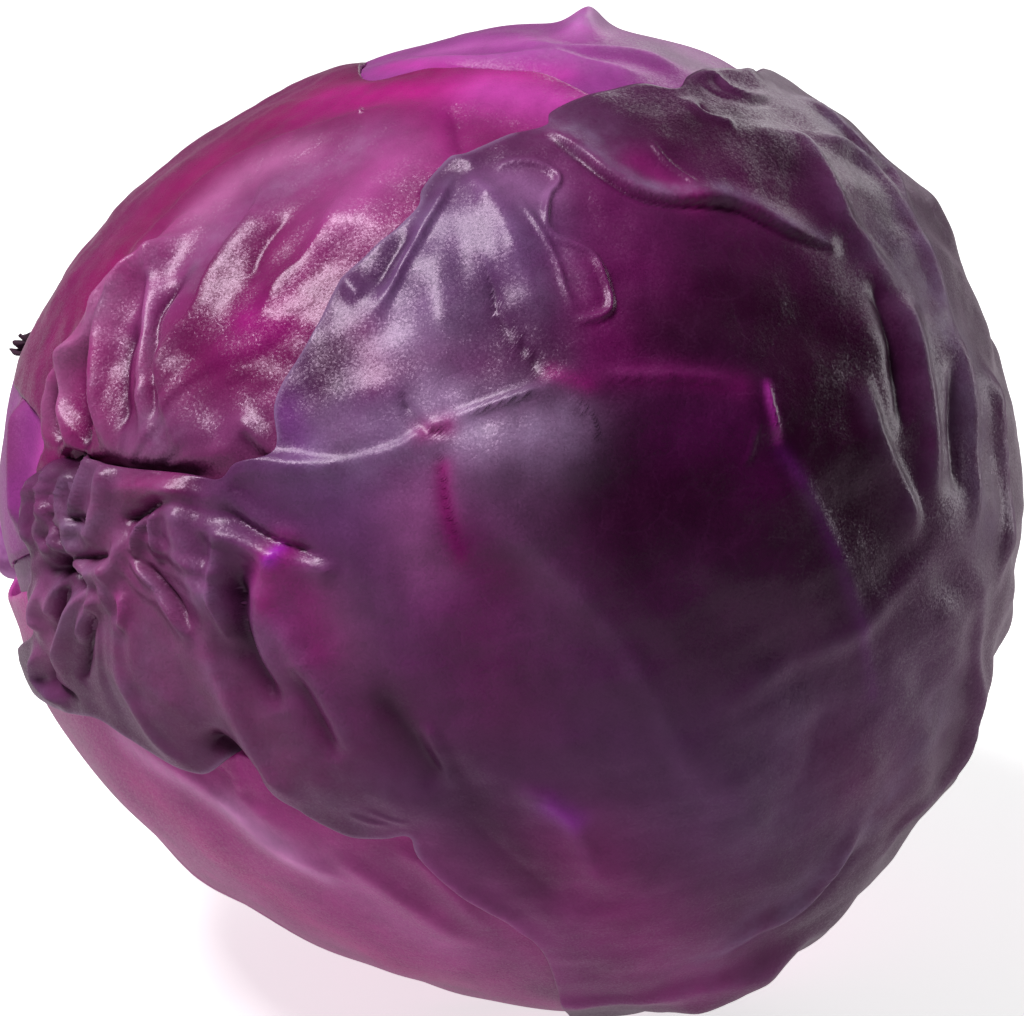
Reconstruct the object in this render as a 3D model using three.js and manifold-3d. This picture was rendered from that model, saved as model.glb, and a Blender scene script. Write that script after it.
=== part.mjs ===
// A head of red cabbage lying on its side, at its real size: the tight heart of inner leaves, five wrapper
// leaves lapped over it and each other, the cut stalk, and the stumps of the leaves trimmed off round it.
//
// Millimetres, +Z up. The origin is the middle of the small flat spot that the head rests on. +X runs from
// the stalk end to the crown, and the head's fairest side faces -Y and a little upwards.
import * as THREE from "three";
import { mergeVertices } from "three/addons/utils/BufferGeometryUtils.js";
import Module from "manifold-3d";

const wasm = await Module();
wasm.setup();

const DEG = Math.PI / 180;

// Driving dimensions.
const MEAN_RADIUS = 80.6; // of the head, seen square on from its fairest side
const FRONT_DEPTH = 79; // from the head's middle to its fairest side
const BACK_DEPTH = 77; // from the head's middle to the side behind
const FRONT_RISE = 20 * DEG; // how far above level the fairest side looks
const EYE_DISTANCE = 614; // from the head's middle to the eye that outline points are given for
const HEAD_MIDDLE = new THREE.Vector3(-4.4, 2.6, 76.3); // of the head, above the resting spot
const LEAF_THICKNESS = 1.0;
const LEAF_GAP = 0.4;
const LAYER_PITCH = LEAF_THICKNESS + LEAF_GAP;
const LEAF_LAYERS = 3; // over the heart
const RESTING_LAYER = 1; // the layer whose leaf lies on the surface
const BALL_DETAIL = 8; // how finely each surface of the head is faceted
const RIM_POINTS = 56; // of a leaf's outline
const STALK_RADIUS = 14;
const STALK_HEIGHT = 3; // that stands out of the head
const STALK_AT = { clock: 183, tilt: 110 };
const FIT_GAP = 0.3; // between pieces that touch
const STUMP = { width: 13, thickness: 4.2, height: 3, bow: 3 };
const STUMP_BEARINGS = [4, 95, 175, 268]; // round the stalk, from the fairest side towards the top

// The long waves that make the head a rounded triangle: [waves round the outline, height, where a crest is].
const OUTLINE_WAVES = [
  [1, 0.5, 308],
  [2, 1.5, 168],
  [3, 2.5, 56],
  [4, 0.5, 6],
  [5, 0.6, 9],
];
const WAVES_FULL_TO = 88 * DEG; // tilt up to which the waves have their full height
const WAVES_GONE_AT = 125 * DEG;

// The head's own axes, seen from its fairest side: across, up and towards the eye.
const ACROSS = new THREE.Vector3(1, 0, 0);
const UP = new THREE.Vector3(0, Math.sin(FRONT_RISE), Math.cos(FRONT_RISE));
const FORWARD = new THREE.Vector3(
  0,
  -Math.cos(FRONT_RISE),
  Math.sin(FRONT_RISE),
);

// The outline's radius at a clock angle, measured from +X towards the top.
function outlineRadius(clock, share) {
  const waves = OUTLINE_WAVES.reduce(
    (sum, [order, height, crest]) =>
      sum + height * Math.cos(order * (clock - crest * DEG)),
    0,
  );
  return MEAN_RADIUS + share * waves;
}

function skinRadius(direction) {
  const towards = direction.dot(FORWARD);
  const clock = Math.atan2(direction.dot(UP), direction.dot(ACROSS));
  const tilt = Math.acos(THREE.MathUtils.clamp(towards, -1, 1));
  const share =
    1 - THREE.MathUtils.smoothstep(tilt, WAVES_FULL_TO, WAVES_GONE_AT);
  const side = outlineRadius(clock, share);
  const depth = towards > 0 ? FRONT_DEPTH : BACK_DEPTH;
  return 1 / Math.hypot(Math.sin(tilt) / side, towards / depth);
}

// A direction from the head's middle: clock degrees round the outline, and degrees of tilt from the eye's line.
function around(clock, tilt) {
  const out = Math.sin(tilt * DEG);
  return new THREE.Vector3()
    .addScaledVector(ACROSS, out * Math.cos(clock * DEG))
    .addScaledVector(UP, out * Math.sin(clock * DEG))
    .addScaledVector(FORWARD, Math.cos(tilt * DEG));
}

// The direction of the point on the fairest side that looks this far across and up from the head's middle.
function facing(across, up) {
  const clock = Math.atan2(up, across);
  const side = outlineRadius(clock, 1);
  const slope = Math.hypot(across, up) / EYE_DISTANCE;
  const a = (slope / side) ** 2 + 1 / FRONT_DEPTH ** 2;
  const b = (-2 * slope ** 2 * EYE_DISTANCE) / side ** 2;
  const c = ((slope * EYE_DISTANCE) / side) ** 2 - 1;
  const near =
    (-b + Math.sqrt(Math.max(b * b - 4 * a * c, 0))) / (2 * a);
  const out = slope * (EYE_DISTANCE - near);
  return new THREE.Vector3()
    .addScaledVector(ACROSS, out * Math.cos(clock))
    .addScaledVector(UP, out * Math.sin(clock))
    .addScaledVector(FORWARD, near)
    .normalize();
}

// A point of the surface that lies depth under the skin. The head is pressed flat where it lies.
function surfacePoint(direction, depth) {
  const point = direction
    .clone()
    .multiplyScalar(skinRadius(direction) - depth)
    .add(HEAD_MIDDLE);
  point.z = Math.max(point.z, depth - RESTING_LAYER * LAYER_PITCH);
  return point;
}

// Every surface of the head is the same ball, shrunk by the surface's depth, so that neighbours nest.
function surfaceGeometry(depth) {
  const ball = new THREE.IcosahedronGeometry(1, BALL_DETAIL);
  const position = ball.getAttribute("position");
  for (let i = 0; i < position.count; i++) {
    const direction = new THREE.Vector3().fromBufferAttribute(position, i);
    const point = surfacePoint(direction.normalize(), depth);
    position.setXYZ(i, point.x, point.y, point.z);
  }
  return ball;
}

// A cone from the head's middle whose rim follows a closed outline of directions. Its base is pushed out to a
// point over the leaf's centre, so that the cone holds every point of the head inside the outline.
function outlineGeometry(centre, outline) {
  const cone = new THREE.ConeGeometry(1, 1, RIM_POINTS);
  const rim = new THREE.CatmullRomCurve3(outline, true, "centripetal")
    .getPoints(RIM_POINTS)
    .map((point) => point.setLength(2 * MEAN_RADIUS));
  const position = cone.getAttribute("position");
  for (let i = 0; i < position.count; i++) {
    const [x, y, z] = [position.getX(i), position.getY(i), position.getZ(i)];
    const turn = Math.round((Math.atan2(x, z) / (2 * Math.PI)) * RIM_POINTS);
    const edge = rim[(RIM_POINTS - turn) % RIM_POINTS];
    const peak = centre.clone().setLength(6 * MEAN_RADIUS);
    const onRim = Math.hypot(x, z) > 0.5;
    const point = onRim ? edge.clone() : y > 0 ? new THREE.Vector3() : peak;
    point.add(HEAD_MIDDLE);
    position.setXYZ(i, point.x, point.y, point.z);
  }
  return cone;
}

function leafSolid({ layer, centre, outline }) {
  const outer = layer * LAYER_PITCH;
  return solidOf(surfaceGeometry(outer))
    .subtract(solidOf(surfaceGeometry(outer + LEAF_THICKNESS)))
    .intersect(solidOf(outlineGeometry(centre, outline)));
}

// The stalk's own axes: out of the head, towards the fairest side, and towards the top.
const stalkOut = around(STALK_AT.clock, STALK_AT.tilt);
const stalkFore = FORWARD.clone()
  .addScaledVector(stalkOut, -FORWARD.dot(stalkOut))
  .normalize();
const stalkTop = new THREE.Vector3().crossVectors(stalkFore, stalkOut);
const stalkFoot = surfacePoint(stalkOut, 0);

// A frame on the stalk's axis, turned by a bearing: +Y is out of the head and +X away from the axis.
function stalkFrame(bearing) {
  const away = stalkFore
    .clone()
    .multiplyScalar(Math.cos(bearing * DEG))
    .addScaledVector(stalkTop, Math.sin(bearing * DEG));
  const side = new THREE.Vector3().crossVectors(away, stalkOut);
  return new THREE.Matrix4()
    .makeBasis(away, stalkOut, side)
    .setPosition(stalkFoot);
}

// A slightly waisted stub with a rounded rim, its foot deep in the head.
function stalkGeometry(extra = 0) {
  const radius = STALK_RADIUS + extra;
  const rim = 1.2;
  const profile = new THREE.Path()
    .moveTo(0, -16)
    .lineTo(radius * 0.9, -16)
    .quadraticCurveTo(radius * 0.94, -6, radius, STALK_HEIGHT - rim + extra)
    .quadraticCurveTo(
      radius,
      STALK_HEIGHT + extra,
      radius - rim,
      STALK_HEIGHT + extra,
    )
    .lineTo(0, STALK_HEIGHT + extra);
  return new THREE.LatheGeometry(profile.getPoints(3), 32).applyMatrix4(
    stalkFrame(0),
  );
}

// The base of a trimmed leaf's rib: a crescent against the stalk, cut off short.
function stumpGeometry(bearing) {
  const half = STUMP.width / 2;
  const inner = STALK_RADIUS + FIT_GAP;
  const outer = inner + STUMP.thickness;
  const crescent = new THREE.Shape()
    .moveTo(inner - STUMP.bow, -half)
    .quadraticCurveTo(inner + STUMP.bow, 0, inner - STUMP.bow, half)
    .quadraticCurveTo(inner, half + 1.2, outer - STUMP.bow, half - 0.8)
    .quadraticCurveTo(outer + STUMP.bow / 2, 0, outer - STUMP.bow, 0.8 - half)
    .quadraticCurveTo(inner, -half - 1.2, inner - STUMP.bow, -half);
  const length = STUMP.height + LEAF_LAYERS * LAYER_PITCH;
  return new THREE.ExtrudeGeometry(crescent, {
    depth: length,
    bevelEnabled: false,
    curveSegments: 4,
  })
    .rotateX(-Math.PI / 2)
    .translate(0, STUMP.height - length, 0)
    .applyMatrix4(stalkFrame(bearing));
}

function solidOf(geometry) {
  const bare = geometry.index ? geometry.toNonIndexed() : geometry.clone();
  bare.deleteAttribute("normal");
  bare.deleteAttribute("uv");
  const merged = mergeVertices(bare, 1e-4);
  return new wasm.Manifold(
    new wasm.Mesh({
      numProp: 3,
      vertProperties: merged.getAttribute("position").array,
      triVerts: new Uint32Array(merged.index.array),
    }),
  );
}

function meshOf(name, solid, material) {
  const { vertProperties, triVerts } = solid.getMesh();
  const geometry = new THREE.BufferGeometry()
    .setAttribute("position", new THREE.BufferAttribute(vertProperties, 3))
    .setIndex(new THREE.BufferAttribute(triVerts, 1));
  geometry.computeVertexNormals();
  const mesh = new THREE.Mesh(geometry, material);
  mesh.name = name;
  return mesh;
}

function finish(colour, roughness) {
  return new THREE.MeshStandardMaterial({ color: colour, roughness, metalness: 0 });
}

// Leaves, from the outermost layer, 0, inwards. Outline points run anticlockwise, seen from outside.
const leaves = {
  front_leaf: {
    layer: 0,
    colour: 0x4a2746,
    centre: facing(-8, -13),
    outline: [
      facing(-38, 8),
      facing(-46, 4.5),
      facing(-64, 6.5),
      facing(-74, 9),
      around(174, 98),
      around(183, 103),
      around(190, 97),
      around(197, 86),
      facing(-77, -29),
      facing(-71, -33.5),
      facing(-61, -38),
      facing(-48, -42),
      facing(-39, -47),
      facing(-23, -52),
      facing(-9, -60.5),
      facing(0, -69.5),
      around(272, 82),
      around(278, 86),
      around(290, 90),
      around(310, 99),
      around(336, 107),
      around(0, 110),
      around(22, 109),
      around(42, 105),
      around(53, 98),
      facing(40, 69.5),
      facing(28.5, 69.5),
      facing(14, 67),
      facing(6.5, 64),
      facing(0, 60),
      facing(-11, 55.5),
      facing(-15.5, 48),
      facing(-27, 37),
      facing(-33, 26),
      facing(-38, 16),
    ],
  },
  back_leaf: {
    layer: 0,
    colour: 0x573050,
    centre: around(150, 160),
    outline: [
      around(177, 118),
      around(169, 109),
      around(160, 105),
      around(148, 105),
      around(128, 109),
      around(104, 116),
      around(80, 124),
      around(55, 127),
      around(30, 128),
      around(5, 130),
      around(-20, 134),
      around(-50, 139),
      around(-80, 140),
      around(-110, 138),
      around(-140, 139),
      around(-165, 134),
      around(189, 123),
    ],
  },
  upper_leaf: {
    layer: 1,
    colour: 0x8e2a68,
    centre: around(130, 78),
    outline: [
      facing(-74.5, 16),
      facing(-75, 6),
      facing(-70, -1),
      facing(-58, -3),
      facing(-45, -3),
      facing(-28, 2),
      facing(-12, 20),
      facing(4, 38),
      facing(16, 52),
      facing(20, 62),
      facing(14, 67.5),
      facing(4.5, 71),
      facing(-5, 72),
      facing(-13, 72),
      facing(-23.5, 70),
      around(110, 96),
      around(120, 112),
      around(138, 120),
      around(154, 110),
      around(161, 92),
    ],
  },
  lower_leaf: {
    layer: RESTING_LAYER,
    colour: 0x84406c,
    centre: around(265, 105),
    outline: [
      around(190, 127),
      around(-165, 143),
      around(-140, 154),
      around(-100, 157),
      around(-60, 154),
      around(-22, 142),
      around(-8, 115),
      around(-6, 88),
      around(-12, 72),
      facing(66, -27),
      facing(54, -42),
      facing(34, -52),
      facing(10, -52),
      facing(-15, -42),
      facing(-38, -32),
      facing(-55, -24),
      facing(-70, -14),
      around(190, 90),
      around(186, 107),
    ],
  },
  top_leaf: {
    layer: 2,
    colour: 0xa65c92,
    centre: around(112, 108),
    outline: [
      around(186, 112),
      around(186, 86),
      facing(-66, 8),
      facing(-56, 26),
      facing(-40, 44),
      facing(-14, 52),
      facing(14, 50),
      facing(40, 48),
      around(40, 80),
      around(34, 100),
      around(40, 128),
      around(68, 148),
      around(108, 154),
      around(140, 150),
      around(164, 142),
      around(182, 130),
    ],
  },
};

const stalkRoom = solidOf(stalkGeometry(FIT_GAP));
const cabbage = new THREE.Group();
cabbage.add(
  meshOf(
    "heart",
    solidOf(surfaceGeometry(LEAF_LAYERS * LAYER_PITCH)).subtract(stalkRoom),
    finish(0x6d3a62, 0.45),
  ),
);
cabbage.add(
  meshOf("stalk", solidOf(stalkGeometry()), finish(0xcbb79c, 0.7)),
);

for (const [name, leaf] of Object.entries(leaves))
  cabbage.add(
    meshOf(name, leafSolid(leaf).subtract(stalkRoom), finish(leaf.colour, 0.4)),
  );

// The stumps stand on the leaves that close round the stalk.
const leafRoom = solidOf(surfaceGeometry(-FIT_GAP));
STUMP_BEARINGS.forEach((bearing, i) => {
  const stump = solidOf(stumpGeometry(bearing))
    .subtract(leafRoom)
    .subtract(stalkRoom);
  cabbage.add(meshOf(`leaf_stump_${i + 1}`, stump, finish(0xb06aa8, 0.4)));
});

export default cabbage;
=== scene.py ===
# %% [markdown]
# # A head of red cabbage
#
# A head of red cabbage is a tight ball of leaves with a few looser wrapper leaves lapped over it. This lesson
# builds one that lies on its side, life size. Every leaf is bent over one shared ball, pushed and pulled into
# its folds along given lines, and painted with its own pigment before the waxy skin goes on.

# %% The imported frame
import math

import bmesh
import bpy
import numpy as np
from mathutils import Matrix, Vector


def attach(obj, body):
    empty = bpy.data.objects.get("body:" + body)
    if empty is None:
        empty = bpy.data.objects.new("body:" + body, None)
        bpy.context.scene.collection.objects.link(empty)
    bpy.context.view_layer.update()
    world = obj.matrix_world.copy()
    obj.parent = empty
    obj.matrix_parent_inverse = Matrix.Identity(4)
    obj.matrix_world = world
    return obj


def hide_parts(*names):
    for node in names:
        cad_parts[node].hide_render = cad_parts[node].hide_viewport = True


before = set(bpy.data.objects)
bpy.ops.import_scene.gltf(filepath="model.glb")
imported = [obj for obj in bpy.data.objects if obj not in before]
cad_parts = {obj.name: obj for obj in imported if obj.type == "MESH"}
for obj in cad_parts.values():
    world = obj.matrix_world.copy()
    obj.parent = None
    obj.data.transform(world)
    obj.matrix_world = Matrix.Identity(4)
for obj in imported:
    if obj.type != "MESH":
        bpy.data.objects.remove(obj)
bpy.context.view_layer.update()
print("frame nodes:", len(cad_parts))

# %% [markdown]
# ## The ball under the leaves
#
# The head is a rounded triangle seen from its fairest side, so the ball's outline is a circle with a few long
# waves in it, and its depth is a little less than its width. A direction from the head's middle picks a point
# on it. Two helpers name directions: `facing` says how far across and up a point looks from the fairest side,
# and `around` gives a place on the hidden side by its clock angle and its tilt away from the eye.

# %% The ball
MM = 0.001
MEAN_RADIUS = 80.6
FRONT_DEPTH = 79.0
BACK_DEPTH = 77.0
EYE_DISTANCE = 614.0
HEAD_MIDDLE = np.array([-4.4, 2.6, 76.3])
OUTLINE_WAVES = [(1, 0.5, 308), (2, 1.5, 168), (3, 2.5, 56), (4, 0.5, 6), (5, 0.6, 9)]
WAVES_FULL_TO, WAVES_GONE_AT = math.radians(88), math.radians(125)

RISE = math.radians(20)
ACROSS = np.array([1.0, 0.0, 0.0])
UP = np.array([0.0, math.sin(RISE), math.cos(RISE)])
FORWARD = np.array([0.0, -math.cos(RISE), math.sin(RISE)])


def smoothstep(value, low, high):
    t = np.clip((value - low) / (high - low), 0, 1)
    return t * t * (3 - 2 * t)


def outline_radius(clock, share):
    waves = sum(h * np.cos(n * (clock - math.radians(crest))) for n, h, crest in OUTLINE_WAVES)
    return MEAN_RADIUS + share * waves


def skin_radius(directions):
    towards = directions @ FORWARD
    clock = np.arctan2(directions @ UP, directions @ ACROSS)
    tilt = np.arccos(np.clip(towards, -1, 1))
    side = outline_radius(clock, 1 - smoothstep(tilt, WAVES_FULL_TO, WAVES_GONE_AT))
    depth = np.where(towards > 0, FRONT_DEPTH, BACK_DEPTH)
    return 1 / np.hypot(np.sin(tilt) / side, towards / depth)


def around(clock, tilt):
    clock, tilt = math.radians(clock), math.radians(tilt)
    out = math.sin(tilt)
    return out * math.cos(clock) * ACROSS + out * math.sin(clock) * UP + math.cos(tilt) * FORWARD


def facing(across, up):
    clock = math.atan2(up, across)
    side = outline_radius(clock, 1)
    slope = math.hypot(across, up) / EYE_DISTANCE
    a = (slope / side) ** 2 + 1 / FRONT_DEPTH**2
    b = -2 * slope**2 * EYE_DISTANCE / side**2
    c = (slope * EYE_DISTANCE / side) ** 2 - 1
    near = (-b + math.sqrt(max(b * b - 4 * a * c, 0))) / (2 * a)
    out = slope * (EYE_DISTANCE - near)
    point = out * math.cos(clock) * ACROSS + out * math.sin(clock) * UP + near * FORWARD
    return point / np.linalg.norm(point)


def place(spot):
    """A spot is (across, up) on the fairest side, or a direction that around() gave."""
    return facing(*spot) if isinstance(spot, tuple) else spot


print("ball: width %.0f mm" % (2 * outline_radius(0, 1)))

# %% [markdown]
# ## Strokes
#
# A leaf gets its folds the way a sculptor gives them: with strokes. A stroke is a smooth line through a few
# spots, and each point of the leaf is raised or sunk by how near it is to the line. The two sides of a stroke
# can have different widths, so that one stroke makes a round ridge, a sharp groove, or a pleat with one steep
# side. The same kind of stroke also lays pigment. Two patterns go over the strokes: a ripple of any
# wavelength, and the fine wrinkles that all gather at the stalk end.

# %% Strokes on the ball
BALL = MEAN_RADIUS
REACH = 3.4  # a stroke is too faint to matter past this many widths
ROUND_RIDGE, SHARP_CREASE = 1.8, 1.3
KNOT = (-66, 1)
KNOT_EDGE, KNOT_REACH = (5, 13), (16, 46)  # mm from its middle: where wrinkles start, and where they die out


def smooth_line(spots, steps=5, closed=False):
    """A Catmull-Rom line through the spots, on a ball of the mean radius."""
    p = np.array([place(s) for s in spots])
    if len(p) == 1:
        return p * BALL
    n = len(p)
    pad = [p[-1], *p, p[0], p[1]] if closed else [2 * p[0] - p[1], *p, 2 * p[-1] - p[-2]]
    pad = np.array(pad)
    line = []
    for i in range(n if closed else n - 1):
        a, b, c, d = pad[i : i + 4]
        for t in np.arange(steps) / steps:
            bend = (2 * a - 5 * b + 4 * c - d) * t**2 + (3 * b - a - 3 * c + d) * t**3
            line.append(0.5 * (2 * b + (c - a) * t + bend))
    line.append(line[0] if closed else p[-1])
    line = np.array(line)
    return line / np.linalg.norm(line, axis=1, keepdims=True) * BALL


def near_line(points, line):
    """Distance to the line, the side of it (from -1, right, to +1, left), and how far along, 0 to 1."""
    if len(line) == 1:
        return np.linalg.norm(points - line[0], axis=1), np.ones(len(points)), np.full(len(points), 0.5)
    best = np.full(len(points), np.inf)
    side = np.ones(len(points))
    along = np.zeros(len(points))
    last = len(line) - 1
    for i in range(last):
        start, step = line[i], line[i + 1] - line[i]
        t = np.clip((points - start) @ step / (step @ step), 0, 1)
        off = points - start - t[:, None] * step
        away = np.einsum("ij,ij->i", off, off)
        closer = away < best
        best[closer] = away[closer]
        leftward = np.cross(start, step)
        side[closer] = off[closer] @ leftward / (np.linalg.norm(leftward) * np.sqrt(away[closer]) + 1e-9)
        along[closer] = (i + t[closer]) / last
    return np.sqrt(best), side, along


def stroke(points, spots, left, right=None, fade=0.25, roundness=ROUND_RIDGE):
    """Which points a stroke reaches, and how strongly it acts on each. A long stroke thins out and spreads at
    its two ends; a short one is a plain dab."""
    right = left if right is None else right
    line = smooth_line(spots)
    middle = line.mean(axis=0)
    span = np.linalg.norm(line - middle, axis=1).max() + REACH * max(left, right)
    close = np.flatnonzero(np.linalg.norm(points - middle, axis=1) < span)
    away, side, along = near_line(points[close], line)
    width = right + (left - right) * (0.5 + 0.5 * side)
    taper = 1.0
    if fade and len(line) > 1:
        length = np.linalg.norm(np.diff(line, axis=0), axis=1).sum()
        thinning = min(max(length / (4 * max(left, right)) - 1, 0), 1)
        ends = smoothstep(along, -0.04, fade) * smoothstep(1 - along, -0.04, fade)
        taper = 1 - thinning * (1 - ends)
        width = width * (1.5 - 0.5 * taper)
    return close, taper * np.exp(-((away / width) ** roundness))


def ripple(points, length, seed, waves=9):
    """Soft unevenness with a given wavelength, between about -1 and 1."""
    rng = np.random.default_rng(seed)
    total = np.zeros(len(points))
    for _ in range(waves):
        heading = rng.normal(size=3)
        heading *= 2 * math.pi / (length * np.linalg.norm(heading) * rng.uniform(0.8, 1.3))
        total += np.sin(points @ heading + rng.uniform(0, 2 * math.pi))
    return total / math.sqrt(waves)


def gathered(directions):
    """Fine wrinkles that all run to the knot at the stalk end and die out on the way from it."""
    knot = facing(*KNOT)
    north = np.cross(knot, ACROSS)
    north /= np.linalg.norm(north)
    bearing = np.arctan2(directions @ north, directions @ np.cross(north, knot))
    away = np.arccos(np.clip(directions @ knot, -1, 1)) * BALL
    wander = 0.25 * ripple(directions * BALL, 17, 5)
    waves = np.sin(23 * bearing + 6 * wander) + 0.7 * np.sin(37 * bearing + 9 * wander + 1)
    return waves * smoothstep(away, *KNOT_EDGE) * (1 - smoothstep(away, *KNOT_REACH))


print("stroke tools ready")

# %% [markdown]
# ## From a flat sheet to a leaf
#
# A leaf starts as a flat square grid. The grid's border is laid along the leaf's own outline, the rest of the
# net relaxes until its cells are even, and the sheet is bent onto the ball at its layer. The outermost leaf
# is made first, and every leaf under it is kept below its underside, so leaves lie on each other and never
# cut through. A leaf also knows where its narrow folds stand up and where they crease, for a painted
# highlight on the crests and painted shade in the creases.

# %% Leaf maker
THICKNESS = 0.9
ROUNDED = 0.22  # how far the margin's corners are rounded off, mm
LAYER_PITCH = 1.4
HUG = 0.12  # what is left between two leaves that touch, mm
RESTING_LAYER = 1
NARROW_FOLD = 4.0  # only folds narrower than this get painted highlight and shade, mm
SHADING_PER_MM, SHADING_WIDTH = 0.5, 0.7  # how fast the painted highlight and shade grow with a fold's height, and their share of the width


def finer(net, size):
    """The same net with size cells along each side."""
    old, new = np.linspace(0, 1, len(net)), np.linspace(0, 1, size + 1)
    for _ in range(2):  # along the rows, then along the columns
        net = np.stack([[np.interp(new, old, line) for line in net[:, :, i].T] for i in (0, 1)], axis=-1)
    return net


class Outline:
    """A closed outline of spots, laid flat round a centre. Distances and angles from the centre stay true."""

    def __init__(self, centre, spots):
        self.centre = place(centre)
        self.east = np.cross(UP, self.centre)
        self.east /= np.linalg.norm(self.east)
        self.north = np.cross(self.centre, self.east)
        rim = self.flat(smooth_line(spots, steps=6, closed=True) / BALL)
        turning = (rim[:-1, 0] * rim[1:, 1] - rim[1:, 0] * rim[:-1, 1]).sum()
        self.rim = rim if turning > 0 else rim[::-1]

    def flat(self, directions):
        bearing = np.arctan2(directions @ self.north, directions @ self.east)
        angle = np.arccos(np.clip(directions @ self.centre, -1, 1))
        return np.column_stack([angle * np.cos(bearing), angle * np.sin(bearing)])

    def direction(self, flat):
        angle = np.hypot(flat[:, 0], flat[:, 1])
        heading = (flat[:, :1] * self.east + flat[:, 1:] * self.north) / np.maximum(angle, 1e-9)[:, None]
        return np.sin(angle)[:, None] * heading + np.cos(angle)[:, None] * self.centre

    def inside(self, directions):
        x, y = self.flat(directions).T
        hits = np.zeros(len(x), bool)
        for (x1, y1), (x2, y2) in zip(self.rim, self.rim[1:]):
            spans = (y1 > y) != (y2 > y)
            if spans.any():
                hits[spans] ^= x[spans] < x1 + (y[spans] - y1) * (x2 - x1) / (y2 - y1)
        return hits

    def spread(self, cells, closeness):
        """Flat places for a square grid: its border follows the rim and the rest relaxes to an even net,
        which never folds over itself. Cells are smaller where closeness is higher."""
        tight = closeness(self.direction(self.rim))
        step = np.linalg.norm(np.diff(self.rim, axis=0), axis=1) * (tight[1:] + tight[:-1]) / 2
        gone = np.concatenate([[0], np.cumsum(step)]) / step.sum()
        net = None
        for size in (*(n for n in (8, 16, 32, 64, 128) if n <= cells), cells):
            share = np.arange(4 * size) / (4 * size)
            border = np.column_stack([np.interp(share, gone, self.rim[:, i]) for i in (0, 1)])
            if net is None:
                net = np.tile(border.mean(axis=0), (size + 1, size + 1, 1))
            else:
                net = finer(net, size)
            net[:-1, 0], net[-1, :-1] = border[:size], border[size : 2 * size]
            net[:0:-1, -1], net[0, :0:-1] = border[2 * size : 3 * size], border[3 * size :]
            for turn in range(400 if size < 100 else 90):  # a fine net starts out nearly settled
                if turn % 30 == 0:
                    pull = closeness(self.direction(net.reshape(-1, 2))).reshape(size + 1, size + 1, 1)
                    left, right = pull[:-2, 1:-1] + pull[1:-1, 1:-1], pull[2:, 1:-1] + pull[1:-1, 1:-1]
                    low, high = pull[1:-1, :-2] + pull[1:-1, 1:-1], pull[1:-1, 2:] + pull[1:-1, 1:-1]
                west, east, south, north = net[:-2, 1:-1], net[2:, 1:-1], net[1:-1, :-2], net[1:-1, 2:]
                across, along = east - west, north - south
                wide, tall, skew = (
                    (a * b).sum(axis=2, keepdims=True)
                    for a, b in ((across, across), (along, along), (across, along))
                )
                if size == 8 and turn < 60:  # settle first, from nothing
                    wide, tall, skew = 1, 1, 0
                twist = net[2:, 2:] - net[:-2, 2:] - net[2:, :-2] + net[:-2, :-2]
                rows = tall * (left * west + right * east) / (left + right)
                cols = wide * (low * south + high * north) / (low + high)
                net[1:-1, 1:-1] = (rows + cols - skew * twist / 4) / (wide + tall)
        return net


class Leaf:
    """One leaf: its layer, counted from the outermost, its outline, and the folds and ripples of its face."""

    def __init__(self, layer, centre, outline, folds, crumple=(), gathers=0.0):
        self.layer = layer
        self.gathers = gathers
        self.outline = Outline(centre, outline)
        self.folds = folds
        self.crumple = crumple
        self.covers = []

    def relief(self, directions):
        points = directions * BALL
        height = np.zeros(len(points))
        for tall, left, right, *spots in self.folds:
            roundness = ROUND_RIDGE if tall > 0 else SHARP_CREASE
            close, weight = stroke(points, spots, left, right, roundness=roundness)
            height[close] += tall * weight
        for tall, length, seed, where in self.crumple:
            height += tall * ripple(points, length, seed) * where(directions)
        return height + self.gathers * gathered(directions)

    def fold_shading(self, directions):
        """1 on the crests of the narrow folds, where highlight is painted, and -1 in their creases, where
        shade is painted.
        """
        points = directions * BALL
        tone = np.zeros(len(points))
        for tall, left, right, *spots in self.folds:
            if max(left, right) < NARROW_FOLD:
                close, weight = stroke(points, spots, SHADING_WIDTH * left, SHADING_WIDTH * right, roundness=1.5)
                tone[close] += SHADING_PER_MM * tall * weight
        return np.clip(tone, -1, 1)

    def radius(self, directions):
        """Of the leaf's outer face, kept under every leaf that covers it."""
        radius = skin_radius(directions) - self.layer * LAYER_PITCH + self.relief(directions)
        for cover in self.covers:
            under = cover.outline.inside(directions)
            if under.any():
                ceiling = cover.radius(directions[under]) - THICKNESS - HUG
                radius[under] = np.minimum(radius[under], ceiling)
        return radius

    def points(self, directions, depth):
        radius = self.radius(directions) - depth
        points = HEAD_MIDDLE + directions * radius[:, None]
        floor = depth + (self.layer - RESTING_LAYER) * LAYER_PITCH
        points[:, 2] = np.maximum(points[:, 2], max(floor, 0))
        return points


def make_mesh(bm, name):
    """Ends a bmesh as a mesh, smooth all over except on faces with many corners, which are cuts."""
    for f in bm.faces:
        f.smooth = len(f.verts) < 5
    mesh = bpy.data.meshes.new(name)
    bm.to_mesh(mesh)
    bm.free()
    return mesh


def move_verts(mesh, points):
    mesh.vertices.foreach_set("co", (points * MM).astype(np.float32).ravel())
    mesh.update()


def vert_points(mesh):
    flat = np.empty(len(mesh.vertices) * 3, np.float32)
    mesh.vertices.foreach_get("co", flat)
    return flat.reshape(-1, 3).astype(float)


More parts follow.
